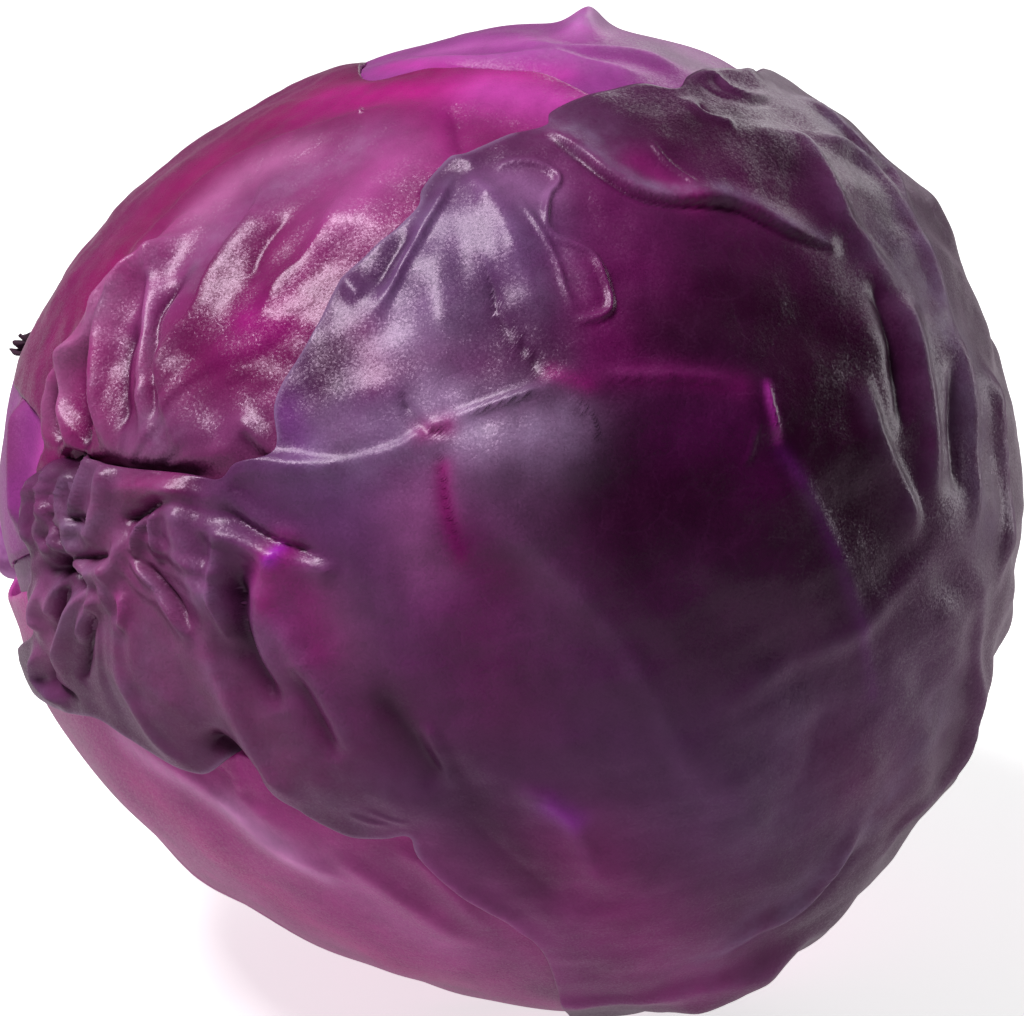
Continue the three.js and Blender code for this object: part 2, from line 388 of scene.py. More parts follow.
def sheet_mesh(name, cells, under_cells):
    """Two square grids, the leaf's face at height 1 and its coarser underside at 0, joined round the rim."""
    bm = bmesh.new()
    bmesh.ops.create_grid(bm, x_segments=under_cells, y_segments=under_cells, size=1)
    bmesh.ops.reverse_faces(bm, faces=bm.faces[:])
    face = bmesh.ops.create_grid(bm, x_segments=cells, y_segments=cells, size=1)["verts"]
    bmesh.ops.translate(bm, verts=face, vec=(0, 0, 1))
    rim = [e for e in bm.edges if e.is_boundary]
    bmesh.ops.bridge_loops(bm, edges=rim)
    return make_mesh(bm, name)


def even(directions):
    """How close a leaf's net is: twice as close on the fair side as behind."""
    return 1 + smoothstep(directions @ FORWARD, -0.2, 0.5)


def link(name, mesh):
    piece = bpy.data.objects.new(name, mesh)
    bpy.context.scene.collection.objects.link(piece)
    return piece


def leaf_piece(name, leaf, cells, under_cells=60, closeness=even):
    mesh = sheet_mesh(name, cells, under_cells)
    x, y, top = vert_points(mesh).T
    directions, points = np.empty((len(x), 3)), np.empty((len(x), 3))
    for size, face in ((cells, top > 0.5), (under_cells, top < 0.5)):
        net = leaf.outline.spread(size, closeness)
        column, row = (np.rint((v[face] + 1) * size / 2).astype(int) for v in (x, y))
        directions[face] = leaf.outline.direction(net[column, row])
    border = np.maximum(abs(x), abs(y)) > 0.9999
    depth = np.where(top > 0.5, np.where(border, ROUNDED, 0.0), THICKNESS)
    for level in np.unique(depth):
        at = depth == level
        points[at] = leaf.points(directions[at], level)
    move_verts(mesh, points)
    return link(name, mesh), directions


print("leaf maker ready")

# %% [markdown]
# ## The front leaf
#
# The biggest wrapper leaf is gathered into a crumpled knot at the stalk end, fans out over the head, and
# wraps round the crown. Near the knot it has deep folds and rounded lobes. Further out it is smoother, with
# shallow dents between its veins, a torn edge that has curled up, and one margin folded back on itself.

# %% Where the front leaf is crumpled


def everywhere(directions):
    return np.ones(len(directions))


def towards_right(directions):
    return smoothstep(directions @ ACROSS, 0.3, 0.85)


def away_from_knot(directions):
    return smoothstep(directions @ ACROSS, -0.75, -0.2)


# %% The front leaf
LOWER_LOBES = [
    (-77, -29), (-70.5, -33), (-66, -34), (-57, -39.5), (-49.5, -42.5), (-44.5, -40), (-40, -43),
    (-36.5, -46.5), (-32, -50), (-26, -53), (-20.5, -53.2), (-16.5, -52.6), (-15, -55.5),
]  # fmt: skip
SILVERY_CORNER = [
    (0, 60), (-7, 57), (-11, 55.5), (-14.5, 51.5), (-15.5, 48), (-22.5, 41.5), (-27, 37), (-30.5, 31),
    (-33, 26), (-36.5, 20.5), (-38, 16), (-37.6, 11),
]  # fmt: skip
FRONT_OUTLINE = [
    *LOWER_LOBES, (-9.3, -60.6), (-0.5, -66.2), (5.6, -72.5),
    # Round behind the crown.
    around(277, 83), around(281, 88), around(290, 92), around(310, 99), around(336, 107), around(0, 110),
    around(22, 109), around(42, 105), around(53, 98), around(59, 88),
    # Back along the upper margin, to the stalk end.
    (38, 70), (33.5, 70), (28.5, 69.5), (26.5, 67.5), (20, 68.5), (14, 67), (6.5, 64), (5.5, 61.5),
    *SILVERY_CORNER, (-38.6, 8.4), (-43.5, 7), (-46, 4.5), (-52, 5.5), (-62, 6.5), (-68, 8), (-72.5, 9.5),
    (-75.5, 6.5), (-77.8, 2.5), (-78.4, -4), (-76.8, -10), (-77.8, -14), (-76.6, -20), (-79.2, -23),
]  # fmt: skip

# Height, width on the left and on the right of the line (negative is a groove), and the line's spots.
FRONT_FOLDS = [
    # The raised lip where the leaf tucks under the pleats of the one above.
    (1.0, 1.4, 4.0, (-47, 2), (-45, 6), (-42, 7.5), (-37, 7), (-30, 6)),
    # The knot: small worm-like folds, from the left edge inwards.
    (1.6, 1.1, 1.6, (-76.2, 6), (-77, 2), (-77.2, -3), (-75.8, -7)),
    (1.9, 1.3, 1.3, (-73, 8), (-74.4, 4), (-74.4, 0.5), (-73, -2.5)),
    (1.7, 1.1, 1.3, (-70.9, 6), (-71.8, 2), (-71.4, -1.5)),
    (2.0, 1.3, 1.5, (-68.3, 7), (-68.8, 3), (-69.4, -1)),
    (2.2, 1.9, 2.2, (-64.5, 5), (-65.3, 0.5), (-66.8, -4)),
    (1.6, 1.1, 1.2, (-74.6, -1.5), (-75.2, -4.5), (-74, -7.5)),
    (1.6, 1.0, 1.1, (-72.3, -2.5), (-73.1, -5), (-72.1, -7)),
    (1.8, 1.7, 1.5, (-70.2, -3.2), (-70.6, -5.2), (-69.4, -7)),
    (2.0, 1.6, 1.6, (-69, -9.2), (-66.8, -10.4), (-64.6, -9.6)),
    (1.9, 1.4, 1.4, (-74.4, -12.5), (-75.8, -16), (-75, -20)),
    (1.6, 1.2, 1.2, (-72.6, -13.2), (-73.6, -16.5)),
    # Dark slits and holes between them.
    (-4.2, 1.4, 1.6, (-74.2, 9.4), (-71.8, 8.6), (-69.8, 7.4)),
    (-2.2, 0.6, 0.6, (-70.6, -1.6), (-68.2, -1.9), (-66.6, -2.6)),
    (-2.0, 0.6, 0.6, (-73.2, -0.2), (-72.4, -3.6), (-71.2, -5.6)),
    (-4.5, 1.5, 1.3, (-73.6, -9.8), (-71, -9.4), (-68.8, -12)),
    (-1.8, 0.6, 0.6, (-70.4, -7.7), (-67, -8.0), (-63.6, -7.6)),
    (-3.0, 1.1, 1.1, (-71.6, -12.6), (-72.4, -16), (-72.8, -19)),
    # The fold that runs from the knot under the pleats.
    (1.8, 2.4, 2.0, (-63, 3.2), (-57, 3.4), (-52, 3)),
    (-2.4, 0.6, 1.0, (-62.5, -2.2), (-58.9, -0.6), (-55, 1.2)),
    # Standing folds below it.
    (1.8, 0.8, 0.9, (-58.6, -1.8), (-59.4, -4), (-59.8, -6.4)),
    (1.8, 1.0, 0.9, (-56.4, -0.4), (-56.8, -3), (-56.4, -6.5)),
    (2.6, 2.8, 3.0, (-53.5, 1.5), (-52.6, -2.5), (-51.5, -7), (-48.8, -13), (-47.5, -18)),
    (1.8, 1.6, 1.6, (-62, -3.5), (-62.6, -8), (-64, -12), (-63.5, -17)),
    (2.0, 1.2, 1.4, (-66, -12), (-69, -15), (-71.5, -21), (-72.6, -27)),
    (1.8, 1.1, 1.0, (-65, -13.5), (-67.5, -17), (-68.8, -22)),
    (-2.2, 0.9, 0.9, (-66.2, -16), (-67.8, -21.5), (-69, -28)),
    (1.4, 0.9, 0.9, (-61.8, -13), (-61.2, -16.5), (-61.8, -19)),
    (1.8, 1.3, 1.3, (-75.2, -22), (-75.4, -27), (-70.6, -31.8)),
    (-1.4, 0.7, 0.7, (-73.6, -23), (-73.4, -27.5), (-69, -31)),
    # The creased fold across the first lobe, bright below and dark above.
    (1.5, 0.5, 1.6, (-61, -7.6), (-58.4, -10.2), (-55.6, -13.6), (-52.6, -18), (-50, -22)),
    (-1.3, 0.8, 0.5, (-59.2, -8.4), (-56.2, -11.6), (-53.4, -15.4), (-51, -19.4)),
    # The first lobe's belly and its second, fainter fold.
    (1.8, 7, 7, (-61, -24), (-56, -31)),
    (1.1, 1.4, 2.4, (-62, -23.6), (-59.2, -30.5), (-55.8, -36.7), (-50.2, -42)),
    # The rounded end of the upper lobe, over the crease that leads to the violet point.
    (0.8, 1.6, 3.6, (-36, 6), (-43, 5.6), (-45.2, 2.8), (-43.6, 0.4), (-40.4, -1.8), (-37.2, -3.8)),
    (-1.4, 0.7, 1.0, (-46, 0.6), (-42.4, -2.6), (-38, -5.2), (-34.3, -6.6), (-30.9, -8.4)),
    # The lobe above the deep channel, arched and glossy.
    (1.6, 2.0, 1.8, (-47.8, -3.2), (-45, -4.4), (-41.8, -6), (-39.2, -7.2)),
    (2.4, 2.4, 1.0, (-46.4, -6), (-46.8, -10.5), (-46.4, -15), (-44.8, -20)),
    # The deep channel and the wall on its far side.
    (-3.0, 1.9, 2.2, (-42.8, -8.8), (-44, -12.9), (-43.3, -18.2), (-41.6, -23.6), (-39.2, -28.6),
     (-37, -32.6)),
    (1.8, 3.5, 1.8, (-36.6, -6.8), (-38.6, -9.8), (-40.4, -14.4), (-40.7, -19.8), (-39, -25.2),
     (-35.4, -30.8)),
    (1.0, 1.0, 2.0, (-36.6, -7), (-33.6, -8.4), (-30, -9.8)),
    # Long soft folds that run down to the margin.
    (1.6, 1.6, 3.0, (-50.2, -20), (-47.2, -26), (-43.3, -33.6), (-38.7, -42), (-32.8, -47.6)),
    (1.3, 2.2, 2.2, (-38, -16), (-33, -25), (-28, -33), (-24, -41)),
    (-1.4, 1.6, 1.6, (-35, -25), (-31, -33), (-27, -40)),
    (1.2, 7, 6, (-33, -42), (-25, -46), (-20, -46)),
    # The pocket under the first lobe, and the dent near the second lobe's end.
    (-3.2, 2.0, 2.4, (-47.5, -37.5), (-44.5, -39.5), (-42, -42)),
    (-1.3, 3.4, 2.6, (-20, -31), (-16.5, -36), (-12.5, -42)),
    (1.0, 1.2, 2.0, (-14, -34), (-11.5, -39), (-9.3, -46)),
    (0.4, 0.5, 0.9, (-25, -49.2), (-22.5, -50.2), (-20, -50.6)),
    (0.35, 0.5, 0.9, (-22, -48.6), (-19.5, -49.6), (-17.5, -50)),
    (1.1, 1.6, 1.2, (-18, -53), (-9.3, -60), (-0.5, -65.6), (5, -71.5)),
    # The midrib and the ribs that leave it.
    (0.5, 0.8, 1.6, (-43, 7), (-38.9, 7.6), (-28.2, 7.2), (-18.2, 9.6), (-13.5, 12.6), (-6.9, 15.3),
     (-3.2, 16.4), (4.2, 18.9), (7.8, 20.8), (13.7, 24.1)),
    (0.6, 0.5, 0.5, (-8, 15), (-3.2, 16.4), (1, 17.7), (4.2, 18.9)),
    (-0.8, 0.4, 0.7, (-6.1, 41), (-3.2, 35.9), (-2.1, 30.7), (1.2, 26.3), (3.4, 23.4), (4.9, 19.7)),
    (-0.9, 0.5, 0.5, (-17.9, 18.9), (-16.4, 15.3), (-13.5, 12.3), (-9.8, 11.6)),
    (0.5, 0.35, 0.35, (8.6, 17.5), (11.5, 15.3), (12.6, 13.1), (13.7, 10.1)),
    (2.2, 8.0, 8.0, (1, 8.5), (6, 9)),
    (-0.5, 1.0, 1.0, (-12, 10.4), (-10.9, 6), (-10, 0), (-7.6, -8)),
    (0.5, 0.9, 0.5, (13.5, 21), (20.4, 21), (29.2, 20.8), (36.5, 19.7)),
    (0.8, 0.4, 0.5, (40.4, 19.5), (41, 16), (42.4, 10.8)),
    (0.35, 0.3, 0.3, (38.8, 13.8), (38.4, 9.4), (36.9, 6.8)),
    (0.5, 1.4, 1.4, (43, 9), (46, 4), (50, -3), (54, -14.5), (58, -30)),
    (1.0, 1.6, 2.4, (0, -46.5), (4, -46), (8, -48.5), (11, -53.5), (15.5, -62.5)),
    (0.7, 2.0, 2.0, (70, -5.5), (62.5, -12), (55, -19.5), (44.5, -25), (26, -35.5)),
    (0.6, 2.4, 2.4, (-8, 1), (4, -8), (14, -18), (24, -34), (30, -50)),
    # The torn strip that has curled up: a thin bright edge on each side of it.
    (0.7, 0.4, 0.7, (-2.8, 53.5), (-1, 55), (3.4, 55.4), (7.1, 53.9), (7.5, 52.1), (6, 49.9), (5.6, 45.4),
     (7.1, 43.2)),
    (0.8, 0.4, 0.7, (6, 44.6), (7.1, 43.2), (11.5, 41.4), (13.7, 39.6), (15.6, 35.1), (15.9, 32.2),
     (14.5, 30.7), (11.5, 30), (9.7, 30.4)),
    (0.45, 0.4, 0.5, (0.5, 49.9), (4.2, 44.7), (7.1, 39.6), (8.6, 35.1), (10.4, 31.5)),
    (0.5, 2.4, 2.4, (10, 40), (12.6, 34)),
    (0.9, 0.9, 1.6, (-9.2, 54.4), (-11.2, 49.5), (-14.6, 44), (-19, 36), (-23, 30)),
    (0.7, 1.4, 1.4, (-9.4, 56), (-7, 55.2)),
    (1.0, 2.0, 2.0, (-6, 52), (-4, 50)),
    (1.2, 3.5, 3.5, (-2, 47), (1, 40), (3, 34)),
    (1.0, 4.0, 4.0, (-12, 36), (-10, 26)),
    (-1.2, 2.2, 2.2, (-17, 43), (-21, 37)),
    (0.6, 1.2, 1.2, (-25, 34.6), (-26.4, 36.2)),
    # The margin folded back over the face: thick along its lower edge, which overhangs.
    (1.15, 3.6, 0.6, (5.6, 61.6), (7.1, 59.4), (11.5, 56.5), (15.2, 53.5), (20.4, 50.6), (26.2, 49.1),
     (30.7, 49), (35.1, 48.8)),
    (1.15, 3.6, 0.6, (32, 49), (35.1, 48.8), (39.5, 46.9), (44.6, 44.3), (50.5, 42.5)),
    (-0.4, 0.4, 0.5, (6.6, 58.6), (11, 55.5), (14.9, 52.5), (20.2, 49.5), (26.1, 48), (35, 47.7),
     (39.3, 45.9), (44.4, 43.2), (50, 41.5)),
    (0.4, 0.35, 0.35, (21.5, 58.3), (24, 55.4), (27.7, 52.1), (29.2, 50.6)),
    (0.7, 0.8, 1.2, (28.4, 66), (29.9, 63.1), (33.6, 61.6), (35.6, 61)),
    (-0.5, 0.4, 0.4, (29.6, 65), (31.2, 62.8), (34, 62)),
    (0.8, 0.9, 0.6, (28, 68.6), (32.1, 69), (35.1, 67), (38.8, 66), (42, 66.4)),
    (-0.4, 0.4, 0.6, (29.6, 67.8), (34.6, 65.8), (38.8, 64.8), (42, 65.2)),
    # Creases that wander down the crown.
    (1.5, 1.5, 3.0, (38, 60), (45.5, 59), (49, 54), (52.5, 47), (57, 42), (62, 35)),
    (1.4, 1.3, 2.6, (47, 59), (52.5, 58), (58, 53.5), (63, 46), (68, 35), (70, 26)),
    (1.5, 1.5, 2.0, (45, 67), (51, 62), (56, 57), (60.5, 53), (64, 46)),
    (-1.6, 1.8, 1.8, (58, 38), (60, 30), (62, 20), (62, 10)),
    (1.5, 1.6, 2.6, (62, 34), (65, 24), (67, 12), (67, 0)),
    (1.3, 1.4, 2.4, (69, 30), (72.5, 20), (74, 8), (73, -5)),
    (-1.4, 1.4, 1.4, (69.5, 24), (71, 12), (71, 2)),
    (1.6, 1.6, 2.4, (75, 24), (78, 12), (79, 0), (76.5, -14)),
    (1.4, 1.5, 3.0, (56, 22), (58, 12), (63, 2), (64, -6)),
    (1.3, 1.5, 2.5, (31.5, -72.5), (38, -67.5), (47, -62.5), (52.5, -55), (57, -48)),
    (-1.0, 1.2, 1.2, (40, -69), (50, -61.5), (57, -53)),
    (1.4, 1.6, 2.6, (58.5, -57.5), (63, -49.5), (68, -44), (72, -36), (74, -24), (74, -8)),
    (1.2, 4.0, 4.0, (30, -40), (38, -50)),
    (1.2, 1.6, 3.5, (-1, -76.5), (8, -78.5), (15, -78.8), (27, -76.5), (42, -71), (51, -66)),
    (-0.8, 4.0, 4.0, (-8, -49), (-4, -53), (2, -58), (7, -62)),
    (-1.2, 5.0, 5.0, (46, -44), (50, -34)),
    (1.9, 7.0, 7.0, (75, -28), (72.5, -36)),
    (-1.6, 8.0, 8.0, around(17, 83), around(22, 83)),
    (1.5, 6.0, 6.0, (70, 44), (68, 48)),
    (3.4, 6.0, 6.0, (30, -77.5), (38, -74)),
    (1.4, 4.0, 4.0, (30, 71), (37, 70)),
]  # fmt: skip

# Height, wavelength, seed, and where.
FRONT_CRUMPLE = [
    (0.45, 26, 11, away_from_knot),
    (0.22, 11, 12, away_from_knot),
    (0.38, 15, 13, towards_right),
    (0.06, 4.5, 14, everywhere),
]


def finer_at_folds(directions):
    knot = smoothstep(directions @ ACROSS, -0.35, -0.75)
    crown = smoothstep(directions @ facing(24, 54), 0.90, 0.97)
    return even(directions) * (1 + 0.5 * knot + 0.7 * crown)


front = Leaf(0, (14, -4), FRONT_OUTLINE, FRONT_FOLDS, FRONT_CRUMPLE, gathers=0.16)
front_piece, front_at = leaf_piece("front_leaf_sheet", front, 296, under_cells=74, closeness=finer_at_folds)
print("front leaf:", len(front_piece.data.polygons), "faces")

# %% [markdown]
# ## The leaves under it
#
# The upper leaf is drawn into pleats where it meets the knot, like cloth gathered to a seam, and it is the
# brightest. The lower leaf is smooth and carries the head. The top leaf shows beyond the upper one, and the
# back leaf closes the far side. On the hidden sides leaves have a midrib and side ribs, set by a small loop.

# %% Ribs on the hidden sides


def ribs(base, tip, spread, count, tall=0.8, width=1.6):
    """A midrib from base to tip and pairs of side ribs that leave it, as folds."""
    base, tip = place(base), place(tip)
    side = np.cross(base, tip)
    side /= np.linalg.norm(side)
    folds = [(tall * 1.5, width * 1.4, width * 1.4, base, base + tip, tip)]
    for i in range(count):
        t = 0.12 + 0.7 * i / count
        root = base * (1 - t) + tip * t
        ahead = (tip - base) * 0.3
        for hand in (-1, 1):
            reach = spread * (0.55 + 0.45 * math.sin(math.pi * (0.25 + 0.6 * t)))
            end = root + hand * side * reach + ahead * 1.3
            middle = root + hand * side * reach * 0.5 + ahead * 0.45
            spots = [p / np.linalg.norm(p) for p in (root, middle, end)]
            folds.append((tall, width, width, *spots))
    return folds


# %% The upper leaf
UPPER_OUTLINE = [
    (-76.5, 14), (-77.5, 5), (-75, 1), (-72, 5), (-69, 4), (-62, 5.2), (-57, 4.5), (-51, 4), (-45, 3.6),
    (-34, 2), (-22, 12), (-12, 24), (0, 40), (12, 54), (22, 62), (20, 66.5), (14, 67.5), (4.5, 71),
    (0, 71.3), (-14, 71.8), (-24.5, 70.8), around(108, 97), around(118, 110), around(132, 119),
    around(148, 116), around(157, 100), around(161.5, 89), around(165, 80),
]  # fmt: skip
UPPER_FOLDS = [
    # The shoulder where the smooth magenta band ends and the pleats begin.
    (1.2, 2.0, 6.0, (-73.6, 23.4), (-65.3, 34.2), (-57, 45.8), (-47, 55), (-37, 59.5), (-23.7, 64),
     (-10, 65)),
    # Pleats, from the leaf's left edge inwards. Each crest is steep on its left.
    (1.6, 1.2, 1.8, (-75.4, 9), (-75.7, 13.4), (-74.8, 18.4), (-72.8, 22.5), (-68.6, 25.9), (-66.1, 30),
     (-64.4, 34.2), (-60.3, 40), (-57, 45)),
    (2.1, 1.1, 1.9, (-71.3, 8.5), (-72.2, 12), (-72.4, 18.4), (-71.1, 23.4), (-68.2, 28.4), (-64, 34.2),
     (-60.3, 38.6), (-56, 43)),
    (2.8, 1.1, 2.4, (-64.5, 7.5), (-66.4, 13.4), (-66.8, 20), (-66.1, 25.9), (-64, 31.7), (-60.3, 37.5),
     (-56, 41.5), (-50, 46)),
    (1.6, 1.2, 2.4, (-59.6, 9), (-59.6, 13.4), (-59.8, 20), (-59.2, 26.7), (-58.4, 34.2), (-57, 40),
     (-54.5, 45), (-48.6, 50)),
    (2.1, 1.1, 4.0, (-51.5, 7), (-55, 13.4), (-56.5, 21.7), (-55.3, 26.7), (-51.1, 31.7), (-48.6, 37.5),
     (-45.3, 42.5), (-42, 46.7), (-40.3, 50.8), (-38.7, 55.8)),
    (1.2, 1.2, 4.0, (-39.6, 32), (-37.8, 36.7), (-33.7, 40.5), (-30.3, 45), (-25.3, 53.3)),
    (0.9, 1.6, 2.2, (-43.5, 14), (-40.6, 10.5), (-38.6, 8.6)),
    # The round lobes where the pleats end, and a swelling beyond the last.
    (1.2, 3.6, 3.6, (-61.5, 9.5), (-58, 9)),
    (1.2, 4.4, 4.0, (-50, 9.5), (-45, 9)),
    (1.0, 6.0, 6.0, (-46, 24), (-42, 30)),
    (0.8, 6.0, 6.0, (-24, 47), (-19, 54)),
    # Creases between them.
    (-1.8, 0.9, 0.9, (-73.8, 10), (-74, 15), (-73, 20)),
    (-2.4, 1.0, 1.0, (-69.6, 9), (-69.8, 15), (-69, 21), (-66.6, 27)),
    (-1.1, 1.1, 1.1, (-62.8, 12), (-62.8, 23), (-61, 30)),
    (-1.3, 0.9, 0.9, (-57.6, 12), (-58, 24), (-57, 32), (-53, 38)),
    (-1.2, 1.0, 1.0, (-43.6, 12.5), (-41, 8.5), (-38.6, 7.4)),
    (-0.6, 1.2, 1.6, (-43, 36), (-40.5, 42), (-36, 48)),
    (-0.8, 2.0, 2.0, (-10, 66), (-8, 56)),
    # The seam where the pleats end.
    (-2.6, 1.1, 0.9, (-75.5, 7.5), (-71, 7.2), (-65.8, 7), (-62, 6.0), (-55, 5.4), (-48, 5.0)),
    (0.6, 0.4, 0.4, (-24.6, 65.2), (-24.4, 63.4)),
    # Where the head is flatter.
    (-1.6, 8.0, 8.0, around(149, 83), around(156, 83)),
    (-1.4, 5.0, 5.0, around(162, 83), around(165, 83)),
    # The far margin lies close on the leaf under it.
    (-0.9, 3.0, 3.0, (-8, 71.5), (-24.5, 70.8), around(108, 97), around(118, 110), around(132, 119)),
]  # fmt: skip
UPPER_CRUMPLE = [(0.25, 13, 21, everywhere), (0.06, 4.5, 22, everywhere)]

upper = Leaf(1, (-42, 30), UPPER_OUTLINE, UPPER_FOLDS, UPPER_CRUMPLE, gathers=0.12)
upper.covers = [front]
upper_piece, upper_at = leaf_piece("upper_leaf_sheet", upper, cells=240, under_cells=48)
print("upper leaf:", len(upper_piece.data.polygons), "faces")

# %% The lower leaf
LOWER_OUTLINE = [
    around(186, 104), around(190, 88), (-68, -12), (-55, -22), (-38, -30), (-15, -40), (10, -50), (34, -50),
    (54, -42), (66, -27), around(-12, 72), around(-6, 88), around(-8, 115), around(-22, 142),
    around(-60, 154), around(-100, 157), around(-140, 154), around(-165, 143), around(190, 127),
]  # fmt: skip
LOWER_FOLDS = [
    # The pale ridge below the front leaf's lobes, and the dent above it.
    (1.0, 1.5, 3.5, (-66, -34), (-56, -41), (-45.5, -48.5), (-39, -54), (-32, -58), (-24, -62)),
    (-0.8, 2.0, 2.0, (-52, -41), (-46, -45), (-40, -50)),
    # Where the head is flatter, by the stalk.
    (-1.2, 5.0, 5.0, around(188, 83), around(192, 83)),
    # Fainter ridges further on.
    (0.8, 1.6, 1.6, (-45, -44), (-44, -47), (-39, -51)),
    (0.9, 2.0, 3.0, (-30, -56), (-24, -60), (-14, -66), (-6, -72)),
    (0.7, 1.4, 2.5, (-20, -55), (-12, -60), (-3, -70)),
    # The ribs underneath.
    *ribs(around(190, 118), around(285, 150), 0.5, 6),
    *ribs(around(196, 96), around(275, 112), 0.4, 5, tall=0.5),
]
LOWER_CRUMPLE = [(0.3, 20, 31, everywhere)]

lower = Leaf(1, around(265, 105), LOWER_OUTLINE, LOWER_FOLDS, LOWER_CRUMPLE)

# %% The back leaf
BACK_OUTLINE = [
    around(177, 120), around(169, 111), around(160, 106), around(148, 106), around(128, 110),
    around(104, 117), around(80, 124), around(55, 127), around(30, 128), around(5, 130), around(-20, 134),
    around(-50, 139), around(-80, 140), around(-110, 138), around(-140, 139), around(-165, 134),
    around(189, 124),
]  # fmt: skip
BACK_FOLDS = [
    *ribs(around(175, 124), around(20, 140), 0.75, 8, tall=0.9),
    # Folds at the stalk end, where it is gathered too.
    (2.2, 1.4, 1.4, around(178, 122), around(170, 116), around(150, 118)),
    (2.0, 1.2, 1.2, around(176, 125), around(160, 122), around(145, 130)),
    (2.0, 1.2, 1.2, around(186, 127), around(190, 134), around(200, 142)),
    (1.8, 1.3, 1.3, around(181, 128), around(178, 136), around(170, 146)),
]
BACK_CRUMPLE = [(0.6, 24, 41, everywhere), (0.3, 11, 42, everywhere)]
back = Leaf(0, around(150, 160), BACK_OUTLINE, BACK_FOLDS, BACK_CRUMPLE)

# %% The top leaf
TOP_OUTLINE = [
    around(186, 112), around(187, 92), (-72, -4), (-62, 10), (-56, 26), (-40, 44), (-14, 52), (14, 50),
    (40, 48), around(40, 80), around(34, 100), around(40, 128), around(68, 148), around(108, 154),
    around(140, 150), around(164, 142), around(182, 130),
]  # fmt: skip
TOP_FOLDS = [
    # The tip that stands up.
    (3.0, 3.0, 3.0, (11, 77), around(81, 93)),
    # Long low ridges along the top, and the groove between them.
    (1.0, 1.6, 3.0, (-22, 73.5), (-8, 74.5), (6, 74.6), (14, 73), (24, 71)),
    (1.2, 2.4, 2.4, (0, 77), (8, 75.5), (20, 75), (30, 72)),
    (-0.8, 1.6, 1.6, (-14, 73.5), (0, 73), (10, 71)),
    # The bulge at the stalk end, and the flatter place beside it.
    (2.6, 2.6, 4.0, (-80.6, 14), (-81, 7), (-81, 0)),
    (-1.2, 5.0, 5.0, around(188, 83), around(192, 83)),
    *ribs(around(178, 116), around(60, 112), 0.6, 7, tall=0.7),
]
TOP_CRUMPLE = [(0.3, 16, 51, everywhere)]
top = Leaf(2, around(112, 108), TOP_OUTLINE, TOP_FOLDS, TOP_CRUMPLE)

# %% The lower, back and top leaves' sheets
lower.covers = [front, back]
top.covers = [front, back, upper, lower]
lower_piece, lower_at = leaf_piece("lower_leaf_sheet", lower, cells=240, under_cells=40)
back_piece, back_at = leaf_piece("back_leaf_sheet", back, cells=220, under_cells=40)
top_piece, top_at = leaf_piece("top_leaf_sheet", top, cells=240, under_cells=40)
print("leaves under it: 4")

# %% [markdown]
# ## Pigment
#
# Red cabbage is coloured by a purple dye that lies unevenly in the leaf: almost black where the leaf is thick
# and smooth, magenta along bruises and veins, and pale rose where the leaf grew in the dark. The dye is laid
# on each leaf as a colour attribute, with soft strokes over a ground colour; a few strokes are painted
# highlight or shade instead of dye. A second attribute holds the bloom, the dusty grey wax that rubs off
# where leaves touch; a few of its strokes are a painted sheen or highlight. Narrow folds get a painted
# highlight on their crests and painted shade in their creases.

# %% Laying pigment


def linear(code):
    """An sRGB hex colour as linear red, green and blue."""
    parts = [int(code[i : i + 2], 16) / 255 for i in (0, 2, 4)]
    return [p / 12.92 if p <= 0.04045 else ((p + 0.055) / 1.055) ** 2.4 for p in parts]


NIGHT, PLUM, WINE, ASH = "28021f", "481a41", "5e104c", "573460"
MAGENTA, VIOLET, ROSE = "8a0668", "9414a6", "b0459a"
CREST_HIGHLIGHT, CREASE_SHADE, CREST_SHEEN = 0.5, 0.6, 0.6  # painted highlight on crests, painted shade in creases, and the bloom that follows them as sheen


def paint(leaf, piece, directions, ground, strokes, bloom_and_sheen):
    """Lays strokes of (colour, strength, width, spots) over the ground, some as painted highlight or shade;
    bloom strokes, some a painted sheen, have no colour.
    """
    points = directions * BALL
    colour = np.tile(linear(ground), (len(points), 1))
    for code, strength, width, *spots in strokes:
        close, weight = stroke(points, spots, width, fade=0)
        weight = (strength * weight)[:, None]
        colour[close] = colour[close] * (1 - weight) + np.array(linear(code)) * weight
    wax_and_sheen = np.zeros(len(points))
    for strength, width, *spots in bloom_and_sheen:
        close, weight = stroke(points, spots, width, fade=0)
        wax_and_sheen[close] = np.maximum(wax_and_sheen[close], strength * weight)
    # Painted highlight on the crests of narrow folds and painted shade in their creases, in colour and in
    # bloom.
    fold_shading = leaf.fold_shading(directions)
    colour *= 1 + (np.where(fold_shading > 0, CREST_HIGHLIGHT, CREASE_SHADE) * fold_shading)[:, None]
    wax_and_sheen = np.clip(wax_and_sheen + CREST_SHEEN * fold_shading, 0, 1)
    dye_and_shading = piece.data.color_attributes.new("pigment_and_shading", "FLOAT_COLOR", "POINT")
    dye_and_shading.data.foreach_set("color", np.column_stack([colour, np.ones(len(points))]).astype(np.float32).ravel())
    dust_and_sheen = piece.data.attributes.new("bloom_and_sheen", "FLOAT", "POINT")
    dust_and_sheen.data.foreach_set("value", wax_and_sheen.astype(np.float32))


